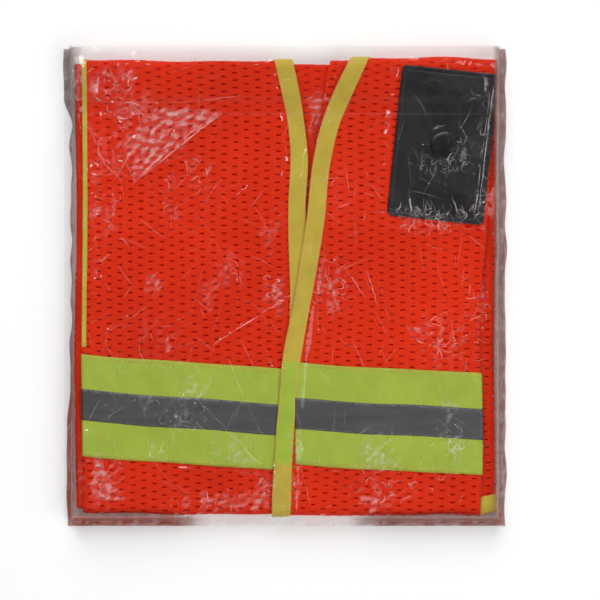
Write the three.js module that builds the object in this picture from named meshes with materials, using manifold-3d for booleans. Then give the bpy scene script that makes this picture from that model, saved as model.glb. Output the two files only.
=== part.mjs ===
// A high visibility mesh vest, folded flat and packed in a clear film bag with a peel-back flap.
// Millimetres, +Z up. The pack lies on its back: X is its width, Y runs towards the bag's mouth.
// The origin is the middle of the pack's footprint, on the surface that it lies on.
// "left" and "right" are the wearer's, so the left front is on the +X side.
import * as THREE from "three";
import { mergeVertices } from "three/addons/utils/BufferGeometryUtils.js";
import Module from "manifold-3d";

// ---- Driving dimensions ----

// The folded vest, in plan
const FOLDED_LENGTH = 322; // from the fold across the chest to the one below the tape
const RIGHT_FOLD_X = -142.4; // the right front's outer edge: its armhole, then its side fold
const LEFT_FOLD_X = 138.2; // the left front's outer fold, up to where it starts to slant
const LEFT_SLANT = { run: 170, out: 11.8 }; // how far down it starts, and how far out it goes
const RIGHT_PEEK = 5.6; // the back shows past both fronts
const LEFT_PEEK = 10.5;
const TOP_TURN = 140; // how far the shoulders are turned under
const MEET_GAP = 3.75; // between the shoulders and the hem, where they meet underneath
const SIDE_TURN = 124; // how far each side is turned under
const NECK_HALF = 70; // half of the neck's opening at the shoulders
const NECK_MIDDLE_X = 27;
const NECK_DROP = 26; // depth of the back's neckline

// Cloth
const CLOTH = 0.5; // thickness of the mesh cloth
const SEWN_GAP = 0.08; // between two pieces that are sewn face to face
const END_GAP = 0.3; // between the ends of two pieces side by side
const LAYER_GAP = 0.06; // between the trims of two layers of the stack
const CORNER_CLEAR = 12; // the bottom folds stop this far short of the stack's corners

// Trim
const BINDING_WIDTH = 12.5;
const BINDING_PLY = 0.25;
const ARMHOLE_BINDING_SHOWN = 3.4; // the armholes' binding is rolled under, and this much shows
const TAPE_WIDTH = 71.5;
const TAPE_PLY = 0.3;
const STRIPE_WIDTH = 21.7;
const STRIPE_PLY = 0.15;
const ARMHOLE_ABOVE_TAPE = 1.5; // from the tape's upper corner to the foot of the armhole
// "up" is from the bottom fold to the middle of the tape at x.
const RIGHT_TAPE = { x: -73, up: 73, turnDeg: -4.4, sideReturn: 60 };
const LEFT_TAPE = { x: 72.5, up: 68.6, turnDeg: -3.4, sideReturn: 48 };
const BACK_TAPE = { x: 0, up: 71, turnDeg: 0 };
const BACK_TAPE_INSET = 12; // from the back's side folds to the ends of its tape

// Chest pocket and its snap
const POCKET = { width: 68, height: 106, corner: 4, turnDeg: -6 };
const POCKET_INSET = { side: -6.6, top: 8.5 }; // from the left fold and the top one, unturned
const POCKET_PLY = 0.35;
const POCKET_ROOM = 0.5; // between the pocket's two plies, for a card
const POCKET_SEAM = 4;
const SNAP = { radius: 10.2, height: 1.4, postRadius: 2, ringRadius: 6, ringHeight: 0.26 };
const SNAP_OFF_CENTRE = { x: 1.6, y: -0.8 }; // from the middle of the pocket

// Bag
const FILM = 0.25; // stand-in thickness: the real film is about 0.04
const BAG_SEAM = 3.8; // width of the flat seam round the vest
const BAG_HEAD_ROOM = 0.5; // between the highest piece of the vest and the film
const BAG_FLOOR_GAP = 0.3; // between the back film and the vest
const BAG_SIDE_ROOM = 0.9; // between the widest piece of the vest and the film
const BAG_FOOT_ROOM = 1.1;
const BAG_MOUTH_ROOM = 7.7; // between the vest and the bag's mouth
const BAG_TAPER = 1.3; // how far the film's walls lean in
const FLAP_LENGTH = 48.3;
const FILM_GAP = 0.3;
const ADHESIVE = { width: 5, fromEdge: 8, ply: 0.1, inset: 6 };

// ---- Places and heights that follow from them ----

const TOP_FOLD_Y = FOLDED_LENGTH / 2;
const BOTTOM_FOLD_Y = -FOLDED_LENGTH / 2;
const LEFT_FOLD_TOP_X = LEFT_FOLD_X + LEFT_SLANT.out;
const LEFT_SLANT_Y = TOP_FOLD_Y - LEFT_SLANT.run;
const UNDER_RIGHT_X = RIGHT_FOLD_X - RIGHT_PEEK;
const UNDER_LEFT_X = LEFT_FOLD_X + LEFT_PEEK;
const SHOULDER_Y = TOP_FOLD_Y - TOP_TURN;
const HEM_Y = SHOULDER_Y - MEET_GAP - BINDING_WIDTH / 2; // middle of the hem's binding

// Offsets of the trims from the middle of the cloth
const BINDING_OFFSET = CLOTH / 2 + SEWN_GAP + BINDING_PLY / 2;
const TAPE_OFFSET = CLOTH / 2 + SEWN_GAP + TAPE_PLY / 2;
const STRIPE_OFFSET = TAPE_OFFSET + TAPE_PLY / 2 + SEWN_GAP + STRIPE_PLY / 2;
const BINDING_REACH = BINDING_OFFSET + BINDING_PLY / 2;
const STRIPE_REACH = STRIPE_OFFSET + STRIPE_PLY / 2;
const PITCH = STRIPE_REACH + BINDING_REACH + LAYER_GAP; // from one layer of the stack to the next

// Levels count outwards from the stack's middle: +5 is on top, and -5 is its return underneath.
const LEFT_FRONT = 5;
const RIGHT_FRONT = 4;
const FRONT_SIDE = 3;
const BACK = 2;
const BACK_SIDE = 1;
const STACK_BASE = FILM + BAG_FLOOR_GAP + BINDING_REACH;
const MIDDLE_Z = STACK_BASE + (LEFT_FRONT - 0.5) * PITCH;
const levelZ = (level) => MIDDLE_Z + (level - Math.sign(level) / 2) * PITCH;
const POCKET_BACK_Z = levelZ(LEFT_FRONT) + CLOTH / 2 + SEWN_GAP + POCKET_PLY / 2;
const POCKET_FRONT_Z = POCKET_BACK_Z + POCKET_PLY + POCKET_ROOM;
const SNAP_BASE_Z = POCKET_FRONT_Z + POCKET_PLY / 2 + SEWN_GAP;
const FILM_TOP = SNAP_BASE_Z + SNAP.height + BAG_HEAD_ROOM + FILM;
const FLAP_Z = FILM_TOP + FILM_GAP + FILM / 2;

// The bag's walls lean in from their foot to their top.
const BAG_WALL_TOP_X = Math.max(LEFT_FOLD_TOP_X, UNDER_LEFT_X, -UNDER_RIGHT_X) + BAG_SIDE_ROOM;
const BAG_WALL_TOP_Y = FOLDED_LENGTH / 2 + BAG_FOOT_ROOM;
const BAG_WALL_X = BAG_WALL_TOP_X + BAG_TAPER;
const BAG_WALL_Y = BAG_WALL_TOP_Y + BAG_TAPER;
const BAG_HALF_X = BAG_WALL_X + BAG_SEAM;
const BAG_HALF_Y = FOLDED_LENGTH / 2 + BAG_MOUTH_ROOM;

const POCKET_AT = {
  x: LEFT_FOLD_X + (-POCKET_INSET.side - POCKET.width / 2),
  y: TOP_FOLD_Y - POCKET_INSET.top - POCKET.height / 2,
  turnDeg: POCKET.turnDeg,
};
const SNAP_AT = { x: POCKET_AT.x + SNAP_OFF_CENTRE.x, y: POCKET_AT.y + SNAP_OFF_CENTRE.y };

/** Height of a tape's middle line at x. */
const tapeY = (tape, x) =>
  BOTTOM_FOLD_Y + tape.up + (x - tape.x) * Math.tan(THREE.MathUtils.degToRad(tape.turnDeg));
// Foot of the right armhole, where the side fold starts
const ARMHOLE_BOTTOM_Y = tapeY(RIGHT_TAPE, RIGHT_FOLD_X) + TAPE_WIDTH / 2 + ARMHOLE_ABOVE_TAPE;

const COLOURS = {
  mesh: { color: 0xd63a14, roughness: 0.8 },
  binding: { color: 0xb4a832, roughness: 0.6 },
  tape: { color: 0xa5be46, roughness: 0.75 },
  stripe: { color: 0x55545a, roughness: 0.45 },
  vinyl: { color: 0x29282b, roughness: 0.35 },
  snap: { color: 0x161617, roughness: 0.3 },
  film: { color: 0xe6e6ea, roughness: 0.1, transparent: true, opacity: 0.2 },
  adhesive: { color: 0xdedede, roughness: 0.4, transparent: true, opacity: 0.3 },
};

// ---- Solids ----

const wasm = await Module();
wasm.setup();

/** A manifold solid from a closed three.js geometry. */
function solidOf(geometry) {
  const bare = geometry.clone();
  bare.deleteAttribute("normal");
  bare.deleteAttribute("uv");
  const merged = mergeVertices(bare, 1e-4);
  const mesh = new wasm.Mesh({
    numProp: 3,
    vertProperties: merged.attributes.position.array,
    triVerts: new Uint32Array(merged.index.array),
  });
  return new wasm.Manifold(mesh);
}

/** The three.js geometry of a manifold solid. */
function geometryOf(solid) {
  const { vertProperties, triVerts } = solid.getMesh();
  const geometry = new THREE.BufferGeometry();
  geometry.setAttribute("position", new THREE.BufferAttribute(vertProperties, 3));
  geometry.setIndex(new THREE.BufferAttribute(triVerts, 1));
  geometry.computeVertexNormals();
  return geometry;
}

const joined = (solids) => solids.reduce((all, next) => all.add(next));
const at = (x, y) => new THREE.Vector2(x, y);
const box2 = (x0, x1, y0, y1) => [at(x0, y0), at(x1, y0), at(x1, y1), at(x0, y1)];

/** A flat piece with an outline in plan, its thickness centred on z, turned and moved to a place. */
function sheet(outline, z, thickness, place = { x: 0, y: 0, turnDeg: 0 }) {
  const shape = outline instanceof THREE.Shape ? outline : new THREE.Shape(outline);
  const geometry = new THREE.ExtrudeGeometry(shape, {
    depth: thickness,
    bevelEnabled: false,
    curveSegments: 10,
  });
  geometry.rotateZ(THREE.MathUtils.degToRad(place.turnDeg));
  return solidOf(geometry.translate(place.x, place.y, z - thickness / 2));
}

/** The outline of a U-turn: half a ring with short straight tails, opening towards -u. */
function turnOutline(radius, thickness) {
  const TAIL = 2;
  const ARC_STEPS = 8;
  const arc = (r, from, to) =>
    Array.from({ length: ARC_STEPS + 1 }, (_, i) => {
      const angle = from + ((to - from) * i) / ARC_STEPS;
      return at(r * Math.cos(angle), r * Math.sin(angle));
    });
  const outer = radius + thickness / 2;
  const inner = radius - thickness / 2;
  const half = Math.PI / 2;
  return [
    at(-TAIL, -outer),
    ...arc(outer, -half, half),
    at(-TAIL, outer),
    at(-TAIL, inner),
    ...arc(inner, half, -half),
    at(-TAIL, -inner),
  ];
}

/**
 * A piece turned under round the line between two points, joining two levels of the stack.
 * The line is the outside of the cloth's fold, and the fold faces right of its direction.
 * A trim lies "offset" outside the middle of the cloth.
 */
function turn(from, to, levels, thickness = CLOTH, offset = 0) {
  const [high, low] = levels.map(levelZ);
  const clothRadius = (high - low) / 2;
  const along = to.clone().sub(from).normalize();
  const outward = at(along.y, -along.x);
  const geometry = new THREE.ExtrudeGeometry(
    new THREE.Shape(turnOutline(clothRadius + offset, thickness)),
    { depth: to.distanceTo(from), bevelEnabled: false },
  );
  geometry.applyMatrix4(
    new THREE.Matrix4().makeBasis(
      new THREE.Vector3(outward.x, outward.y, 0),
      new THREE.Vector3(0, 0, 1),
      new THREE.Vector3(-along.x, -along.y, 0),
    ),
  );
  const centre = to.clone().addScaledVector(outward, -(clothRadius + CLOTH / 2));
  return solidOf(geometry.translate(centre.x, centre.y, (high + low) / 2));
}

/** A strip of even width along a plan curve. */
function band(curve, width) {
  const STEPS = 30;
  const leftSide = [];
  const rightSide = [];
  for (let i = 0; i <= STEPS; i++) {
    const p = curve.getPoint(i / STEPS);
    const along = curve.getTangent(i / STEPS);
    const across = at(-along.y, along.x).multiplyScalar(width / 2);
    leftSide.push(p.clone().add(across));
    rightSide.unshift(p.clone().sub(across));
  }
  return [...leftSide, ...rightSide];
}

/** A binding folded over the edge of a layer: a ply on each face, joined past the edge. */
function binding(edge, cloth, level, width = BINDING_WIDTH) {
  const z = levelZ(level);
  const inside = CLOTH + 2 * SEWN_GAP;
  return sheet(band(edge, width), z, inside + 2 * BINDING_PLY)
    .subtract(sheet(cloth, z, inside))
    .subtract(sheet(band(edge, 2 * END_GAP), z, inside));
}

// ---- Lines that several pieces share ----

const OUTER_REACH = (LEFT_FRONT - 0.5) * PITCH + CLOTH / 2; // from a fold to its layers' flat part
const FLAT_TOP = TOP_FOLD_Y - OUTER_REACH;
const FLAT_BOTTOM = BOTTOM_FOLD_Y + OUTER_REACH;

const aboveY = (solid, y) => solid.trimByPlane([0, 1, 0], y);
const belowY = (solid, y) => solid.trimByPlane([0, -1, 0], -y);
const flatPart = (solid) => aboveY(belowY(solid, FLAT_TOP), FLAT_BOTTOM);
/** The outside of a layer's top or bottom fold: the folds of the stack are concentric. */
const foldY = (outerY, level) => outerY - Math.sign(outerY) * (LEFT_FRONT - level) * PITCH;

const FOLD_END = 4; // a fold round the pack stops this far short of a panel's side
const SHOULDER_INSET = 3; // the shoulders underneath lie this far inside the pack's sides
const EDGE_INSET = 3; // a fold round the pack stops this far inside a bound front edge
const TUCK_FROM_X = 60; // the left front's side is tucked back to here
const ARMHOLE_FOOT_GAP = 1; // between the armhole's foot and the side fold below it

// The front edges: the neck hangs from the top fold, and each runs on past the bottom one.
const PAST = 7;
const below = (x, drop) => at(x, TOP_FOLD_Y - drop);
const leftEdge = new THREE.SplineCurve([
  below(58, -PAST),
  below(42, 23),
  below(32.6, 46),
  below(26.2, 73),
  below(21.8, 113),
  below(12.6, 170),
  below(4.6, 214),
  below(1.4, 249),
  at(-3, BOTTOM_FOLD_Y - PAST),
]);
const rightEdge = new THREE.SplineCurve([
  below(-2, -PAST),
  below(8, 46),
  below(10.2, 69),
  below(8.7, 104),
  below(9.2, 141),
  below(10, 170),
  below(7, 214),
  below(4.2, 249),
  at(0, BOTTOM_FOLD_Y - PAST),
]);
const edgeX = (edge, y) => {
  const STEPS = 400;
  const near = edge.getPoints(STEPS).find((p) => p.y <= y);
  return near.x;
};

// Underneath, each front edge leans out from the top fold to the shoulder.
const NECK_START = { back: 2, above: 4 };
const NECK_LEAN = { out: 16, above: 10 };
const neckCurve = (edge, side) => {
  const headX = edgeX(edge, FLAT_TOP);
  const halfwayY = (FLAT_TOP + SHOULDER_Y) / 2;
  return new THREE.SplineCurve([
    at(headX - side * NECK_START.back, FLAT_TOP + NECK_START.above),
    at(headX + side * NECK_LEAN.out, halfwayY + NECK_LEAN.above),
    at(NECK_MIDDLE_X + side * NECK_HALF, SHOULDER_Y),
  ]);
};
const leftNeck = neckCurve(leftEdge, 1);
const rightNeck = neckCurve(rightEdge, -1);
const leftHeadX = edgeX(leftEdge, FLAT_TOP);
const rightHeadX = edgeX(rightEdge, FLAT_TOP);
const leftFootX = edgeX(leftEdge, FLAT_BOTTOM);
const rightFootX = edgeX(rightEdge, FLAT_BOTTOM);
const points = (curve) => curve.getPoints(30);

/** The left front's outer fold, which slants out towards the top. */
const leftFoldX = (y) => {
  const share = Math.max(0, (y - LEFT_SLANT_Y) / (TOP_FOLD_Y - LEFT_SLANT_Y));
  return LEFT_FOLD_X + (LEFT_FOLD_TOP_X - LEFT_FOLD_X) * share;
};
const leftFoldAt = (y, inset = 0) => at(leftFoldX(y) - inset, y);
const SIDE_REACH = PITCH / 2 + CLOTH / 2; // from a one-step side fold to its flat part

// ---- The three panels of mesh cloth, each one piece ----

const leftCentre = [
  ...points(leftEdge),
  leftFoldAt(BOTTOM_FOLD_Y, SIDE_REACH),
  leftFoldAt(LEFT_SLANT_Y, SIDE_REACH),
  leftFoldAt(TOP_FOLD_Y, SIDE_REACH),
];
const rightCentre = [
  ...points(rightEdge),
  at(RIGHT_FOLD_X + SIDE_REACH, BOTTOM_FOLD_Y),
  at(RIGHT_FOLD_X + SIDE_REACH, ARMHOLE_BOTTOM_Y),
  at(RIGHT_FOLD_X + ARMHOLE_BINDING_SHOWN / 2, ARMHOLE_BOTTOM_Y),
  at(RIGHT_FOLD_X + ARMHOLE_BINDING_SHOWN / 2, TOP_FOLD_Y),
];
const leftShoulder = [
  ...points(leftNeck),
  at(UNDER_LEFT_X - SHOULDER_INSET, SHOULDER_Y),
  at(UNDER_LEFT_X - SHOULDER_INSET, TOP_FOLD_Y),
];
const rightShoulder = [
  ...points(rightNeck),
  at(RIGHT_FOLD_X + SHOULDER_INSET, SHOULDER_Y),
  at(RIGHT_FOLD_X + SHOULDER_INSET, TOP_FOLD_Y),
];
const leftHem = box2(leftFootX, LEFT_FOLD_X, FLAT_BOTTOM, HEM_Y);
const rightHem = box2(RIGHT_FOLD_X, rightFootX, FLAT_BOTTOM, HEM_Y);

function leftFrontPanel() {
  const levels = [LEFT_FRONT, -LEFT_FRONT];
  const side = [LEFT_FRONT, RIGHT_FRONT];
  const slantStart = leftFoldAt(LEFT_SLANT_Y);
  const tucked = [
    at(TUCK_FROM_X, BOTTOM_FOLD_Y),
    leftFoldAt(BOTTOM_FOLD_Y, SIDE_REACH),
    leftFoldAt(LEFT_SLANT_Y, SIDE_REACH),
    leftFoldAt(TOP_FOLD_Y, SIDE_REACH),
    at(TUCK_FROM_X, TOP_FOLD_Y),
  ];
  return joined([
    flatPart(sheet(leftCentre, levelZ(LEFT_FRONT), CLOTH)),
    flatPart(turn(leftFoldAt(FLAT_BOTTOM), slantStart, side)),
    flatPart(turn(slantStart, leftFoldAt(TOP_FOLD_Y), side)),
    flatPart(sheet(tucked, levelZ(RIGHT_FRONT), CLOTH)),
    turn(
      at(LEFT_FOLD_TOP_X - FOLD_END, TOP_FOLD_Y),
      at(leftHeadX + EDGE_INSET, TOP_FOLD_Y),
      levels,
    ),
    flatPart(sheet(leftShoulder, levelZ(-LEFT_FRONT), CLOTH)),
    turn(
      at(leftFootX + EDGE_INSET, BOTTOM_FOLD_Y),
      at(LEFT_FOLD_X - FOLD_END, BOTTOM_FOLD_Y),
      levels,
    ),
    sheet(leftHem, levelZ(-LEFT_FRONT), CLOTH),
  ]);
}

function rightFrontPanel() {
  const levels = [RIGHT_FRONT, -RIGHT_FRONT];
  const topY = foldY(TOP_FOLD_Y, RIGHT_FRONT);
  const bottomY = foldY(BOTTOM_FOLD_Y, RIGHT_FRONT);
  const sideTop = ARMHOLE_BOTTOM_Y - ARMHOLE_FOOT_GAP;
  const flatX = RIGHT_FOLD_X + SIDE_REACH;
  const sideReturn = box2(flatX, RIGHT_FOLD_X + SIDE_TURN, FLAT_BOTTOM, sideTop);
  return joined([
    flatPart(sheet(rightCentre, levelZ(RIGHT_FRONT), CLOTH)),
    turn(at(RIGHT_FOLD_X, sideTop), at(RIGHT_FOLD_X, FLAT_BOTTOM), [RIGHT_FRONT, FRONT_SIDE]),
    sheet(sideReturn, levelZ(FRONT_SIDE), CLOTH),
    turn(at(rightHeadX - EDGE_INSET, topY), at(RIGHT_FOLD_X + FOLD_END, topY), levels),
    flatPart(sheet(rightShoulder, levelZ(-RIGHT_FRONT), CLOTH)),
    turn(
      at(RIGHT_FOLD_X + CORNER_CLEAR, bottomY),
      at(rightFootX - EDGE_INSET, bottomY),
      levels,
    ),
    sheet(rightHem, levelZ(-RIGHT_FRONT), CLOTH),
  ]);
}

const PAST_SHOULDER_Y = SHOULDER_Y - 2; // the back's outline runs on past its trimmed shoulders
const backNeck = new THREE.QuadraticBezierCurve(
  at(NECK_MIDDLE_X - NECK_HALF, PAST_SHOULDER_Y),
  at(NECK_MIDDLE_X, SHOULDER_Y + 2 * NECK_DROP),
  at(NECK_MIDDLE_X + NECK_HALF, PAST_SHOULDER_Y),
);
const backShoulders = [
  at(RIGHT_FOLD_X + SHOULDER_INSET, PAST_SHOULDER_Y),
  ...points(backNeck),
  at(UNDER_LEFT_X - SHOULDER_INSET, PAST_SHOULDER_Y),
  at(UNDER_LEFT_X - SHOULDER_INSET, TOP_FOLD_Y),
  at(RIGHT_FOLD_X + SHOULDER_INSET, TOP_FOLD_Y),
];
const backHem = box2(RIGHT_FOLD_X, LEFT_FOLD_X, FLAT_BOTTOM, HEM_Y);

// The back's own left armhole edge ends beside the bottom fold, where its binding shows.
const CORNER_EDGE_RISE = 0.5; // from the bottom fold up to that edge
const CORNER_EDGE_Y = FLAT_BOTTOM + CORNER_EDGE_RISE;
const CORNER_X = UNDER_LEFT_X - CORNER_CLEAR;
const LEFT_TURN_START_Y = CORNER_EDGE_Y + BINDING_WIDTH / 2 + END_GAP;

const backCentre = [
  at(UNDER_RIGHT_X + SIDE_REACH, BOTTOM_FOLD_Y),
  at(CORNER_X, BOTTOM_FOLD_Y),
  at(CORNER_X, CORNER_EDGE_Y),
  at(UNDER_LEFT_X - SIDE_REACH, CORNER_EDGE_Y),
  at(UNDER_LEFT_X - SIDE_REACH, TOP_FOLD_Y),
  at(UNDER_RIGHT_X + SIDE_REACH, TOP_FOLD_Y),
];

function backPanel() {
  const levels = [BACK, -BACK];
  const side = [BACK, BACK_SIDE];
  const topY = foldY(TOP_FOLD_Y, BACK);
  const bottomY = foldY(BOTTOM_FOLD_Y, BACK);
  const rightReturn = box2(
    UNDER_RIGHT_X + SIDE_REACH,
    UNDER_RIGHT_X + SIDE_TURN,
    FLAT_BOTTOM,
    FLAT_TOP,
  );
  const leftReturn = box2(
    UNDER_LEFT_X - SIDE_TURN,
    UNDER_LEFT_X - SIDE_REACH,
    LEFT_TURN_START_Y,
    FLAT_TOP,
  );
  return joined([
    flatPart(sheet(backCentre, levelZ(BACK), CLOTH)),
    turn(at(UNDER_RIGHT_X, FLAT_TOP), at(UNDER_RIGHT_X, FLAT_BOTTOM), side),
    sheet(rightReturn, levelZ(BACK_SIDE), CLOTH),
    turn(at(UNDER_LEFT_X, LEFT_TURN_START_Y), at(UNDER_LEFT_X, FLAT_TOP), side),
    sheet(leftReturn, levelZ(BACK_SIDE), CLOTH),
    turn(at(UNDER_LEFT_X - FOLD_END, topY), at(RIGHT_FOLD_X + FOLD_END, topY), levels),
    aboveY(flatPart(sheet(backShoulders, levelZ(-BACK), CLOTH)), SHOULDER_Y),
    turn(at(RIGHT_FOLD_X + CORNER_CLEAR, bottomY), at(CORNER_X, bottomY), levels),
    sheet(backHem, levelZ(-BACK), CLOTH),
  ]);
}

// ---- Bindings ----

/** The binding along one front's whole edge: neck and front, round both folds of the pack. */
function frontBinding({ edge, centre, level, neck, shoulder, hem, headX, footX }) {
  const levels = [level, -level];
  const half = BINDING_WIDTH / 2;
  const topY = foldY(TOP_FOLD_Y, level);
  const bottomY = foldY(BOTTOM_FOLD_Y, level);
  const foot = new THREE.LineCurve(at(footX, BOTTOM_FOLD_Y), at(footX, HEM_Y));
  const fold = (from, to) => turn(from, to, levels, BINDING_PLY, BINDING_OFFSET);
  return joined([
    flatPart(binding(edge, centre, level)),
    fold(at(headX + half, topY), at(headX - half, topY)),
    aboveY(flatPart(binding(neck, shoulder, -level)), SHOULDER_Y),
    fold(at(footX - half, bottomY), at(footX + half, bottomY)),
    flatPart(binding(foot, hem, -level)),
  ]);
}

const leftBinding = () =>
  frontBinding({
    edge: leftEdge,
    centre: leftCentre,
    level: LEFT_FRONT,
    neck: leftNeck,
    shoulder: leftShoulder,
    hem: leftHem,
    headX: leftHeadX,
    footX: leftFootX,
  });
const rightBinding = () =>
  frontBinding({
    edge: rightEdge,
    centre: rightCentre,
    level: RIGHT_FRONT,
    neck: rightNeck,
    shoulder: rightShoulder,
    hem: rightHem,
    headX: rightHeadX,
    footX: rightFootX,
  });
const backNeckBinding = () => aboveY(binding(backNeck, backShoulders, -BACK), SHOULDER_Y);

/** A straight hem's binding, from one x to another. */
const hemBinding = (x0, x1, hem, level) =>
  binding(new THREE.LineCurve(at(x0, HEM_Y), at(x1, HEM_Y)), hem, level);
const BINDING_CLEAR = BINDING_WIDTH / 2 + END_GAP;

function rightArmholeBinding() {
  const x = RIGHT_FOLD_X + ARMHOLE_BINDING_SHOWN / 2;
  const edge = new THREE.LineCurve(at(x, ARMHOLE_BOTTOM_Y + END_GAP), at(x, TOP_FOLD_Y));
  const topY = foldY(TOP_FOLD_Y, RIGHT_FRONT);
  const from = at(RIGHT_FOLD_X + ARMHOLE_BINDING_SHOWN, topY);
  const to = at(RIGHT_FOLD_X, topY);
  return joined([
    flatPart(binding(edge, rightCentre, RIGHT_FRONT, ARMHOLE_BINDING_SHOWN)),
    turn(from, to, [RIGHT_FRONT, -RIGHT_FRONT], BINDING_PLY, BINDING_OFFSET),
  ]);
}

function leftArmholeBinding() {
  const CORNER_START = 1.3; // how far from the cut corner the binding begins
  const from = at(CORNER_X + CORNER_START, CORNER_EDGE_Y);
  const edge = new THREE.LineCurve(from, at(UNDER_LEFT_X, CORNER_EDGE_Y));
  return binding(edge, backCentre, BACK);
}

// ---- Reflective tape: a lime ground and a silver stripe, sewn across each panel ----

/** A strip across a panel, cut off at the panel's outline and beside its edge binding. */
function strip(place, width, offset, ply, panel) {
  const z = levelZ(panel.level) + panel.face * offset;
  const outline = box2(-2 * BAG_HALF_X, 2 * BAG_HALF_X, -width / 2, width / 2);
  const middle = { x: place.x, y: tapeY(place, place.x), turnDeg: place.turnDeg };
  const whole = sheet(outline, z, ply, middle).intersect(sheet(panel.cloth, z, 2 * ply));
  if (!panel.edge) return whole;
  return whole.subtract(sheet(band(panel.edge, BINDING_WIDTH + 2 * END_GAP), z, 2 * ply));
}

/** The strip's own fold round the side of the pack, and its return underneath. */
function stripReturn(place, width, offset, ply, panel) {
  const side = Math.sign(place.x);
  const flatX = panel.foldX - side * panel.reach;
  const middle = tapeY(place, flatX);
  const low = at(panel.foldX, middle - width / 2);
  const high = at(panel.foldX, middle + width / 2);
  const ends = side > 0 ? [low, high] : [high, low];
  const innerX = flatX - side * place.sideReturn;
  const back = box2(Math.min(innerX, flatX), Math.max(innerX, flatX), low.y, high.y);
  return joined([
    turn(...ends, panel.sideLevels, ply, offset),
    sheet(back, levelZ(panel.sideLevels[1]) - offset, ply),
  ]);
}

const rightPanel = {
  level: RIGHT_FRONT,
  face: 1,
  cloth: rightCentre,
  edge: rightEdge,
  foldX: RIGHT_FOLD_X,
  reach: SIDE_REACH,
  sideLevels: [RIGHT_FRONT, FRONT_SIDE],
};
const leftPanel = {
  level: LEFT_FRONT,
  face: 1,
  cloth: leftCentre,
  edge: leftEdge,
  foldX: LEFT_FOLD_X,
  reach: SIDE_REACH,
  sideLevels: [LEFT_FRONT, RIGHT_FRONT],
};
const backPanelOutside = {
  level: BACK,
  face: -1,
  cloth: box2(
    UNDER_RIGHT_X + BACK_TAPE_INSET,
    UNDER_LEFT_X - BACK_TAPE_INSET,
    BOTTOM_FOLD_Y,
    TOP_FOLD_Y,
  ),
};

const TAPE = [TAPE_WIDTH, TAPE_OFFSET, TAPE_PLY];
const STRIPE = [STRIPE_WIDTH, STRIPE_OFFSET, STRIPE_PLY];
const wrapped = (place, size, panel) =>
  strip(place, ...size, panel).add(stripReturn(place, ...size, panel));

// ---- Chest pocket ----

/** A rectangle with rounded corners, centred on the origin. */
function roundedBox(width, height, radius) {
  const shape = new THREE.Shape();
  const x = width / 2 - radius;
  const y = height / 2 - radius;
  shape.absarc(x, -y, radius, -Math.PI / 2, 0);
  shape.absarc(x, y, radius, 0, Math.PI / 2);
  shape.absarc(-x, y, radius, Math.PI / 2, Math.PI);
  shape.absarc(-x, -y, radius, Math.PI, 1.5 * Math.PI);
  return shape;
}

/** A round disc at the snap's centre. */
function disc(radius, height, baseZ) {
  const geometry = new THREE.CylinderGeometry(radius, radius, height, 36);
  geometry.rotateX(Math.PI / 2);
  return solidOf(geometry.translate(SNAP_AT.x, SNAP_AT.y, baseZ + height / 2));
}

const pocketOutline = roundedBox(POCKET.width, POCKET.height, POCKET.corner);
const pocketBack = () => sheet(pocketOutline, POCKET_BACK_Z, POCKET_PLY, POCKET_AT);

/** The front ply, with a seam down both sides and along the foot, open at the top. */
function pocketFront() {
  const MERGE = 0.05;
  const inner = POCKET.width / 2 - POCKET_SEAM;
  const seamDepth = POCKET_ROOM - SEWN_GAP + MERGE;
  const seamZ = POCKET_FRONT_Z - POCKET_PLY / 2 + MERGE - seamDepth / 2;
  const room = box2(-inner, inner, POCKET_SEAM - POCKET.height / 2, POCKET.height);
  const seam = sheet(pocketOutline, seamZ, seamDepth, POCKET_AT).subtract(
    sheet(room, seamZ, 2 * seamDepth, POCKET_AT),
  );
  return sheet(pocketOutline, POCKET_FRONT_Z, POCKET_PLY, POCKET_AT)
    .add(seam)
    .subtract(disc(SNAP.postRadius + END_GAP, 2 * POCKET_PLY, POCKET_FRONT_Z - POCKET_PLY));
}

/** The snap's cap on the pocket's face, with its post through the vinyl. */
function snapCap() {
  const postLength = SEWN_GAP + POCKET_PLY + SEWN_GAP + SNAP.ringHeight;
  const post = disc(SNAP.postRadius, postLength + SNAP.height / 2, SNAP_BASE_Z - postLength);
  return disc(SNAP.radius, SNAP.height, SNAP_BASE_Z).add(post);
}

function snapRing() {
  const baseZ = POCKET_FRONT_Z - POCKET_PLY / 2 - SEWN_GAP - SNAP.ringHeight;
  const hole = disc(SNAP.postRadius + END_GAP, 3 * SNAP.ringHeight, baseZ - SNAP.ringHeight);
  return disc(SNAP.ringRadius, SNAP.ringHeight, baseZ).subtract(hole);
}

// ---- Bag ----

const WELD_GAP = 0.1;
const SEAM_Z = FILM + WELD_GAP;
const MOUTH_Y = BAG_HALF_Y - FILM - END_GAP;

/** The space under the front film, or with "grow" its outside, as a tapering block. */
function bagSpace(grow, mouthY) {
  const top = FILM_TOP - FILM + grow;
  const geometry = new THREE.BoxGeometry(2, 2, top);
  geometry.translate(0, 0, top / 2);
  const position = geometry.attributes.position;
  for (let i = 0; i < position.count; i++) {
    const high = position.getZ(i) > 0;
    const wallX = high ? BAG_WALL_TOP_X : BAG_WALL_X;
    const footY = -(high ? BAG_WALL_TOP_Y : BAG_WALL_Y) - grow;
    position.setX(i, position.getX(i) * (wallX + grow));
    position.setY(i, position.getY(i) > 0 ? mouthY : footY);
  }
  return solidOf(geometry);
}

function bagFrontFilm() {
  const seam = sheet(box2(-BAG_HALF_X, BAG_HALF_X, -BAG_HALF_Y, MOUTH_Y), SEAM_Z + FILM / 2, FILM);
  return bagSpace(FILM, MOUTH_Y)
    .trimByPlane([0, 0, 1], SEAM_Z)
    .add(seam)
    .subtract(bagSpace(0, MOUTH_Y + PAST));
}

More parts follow.
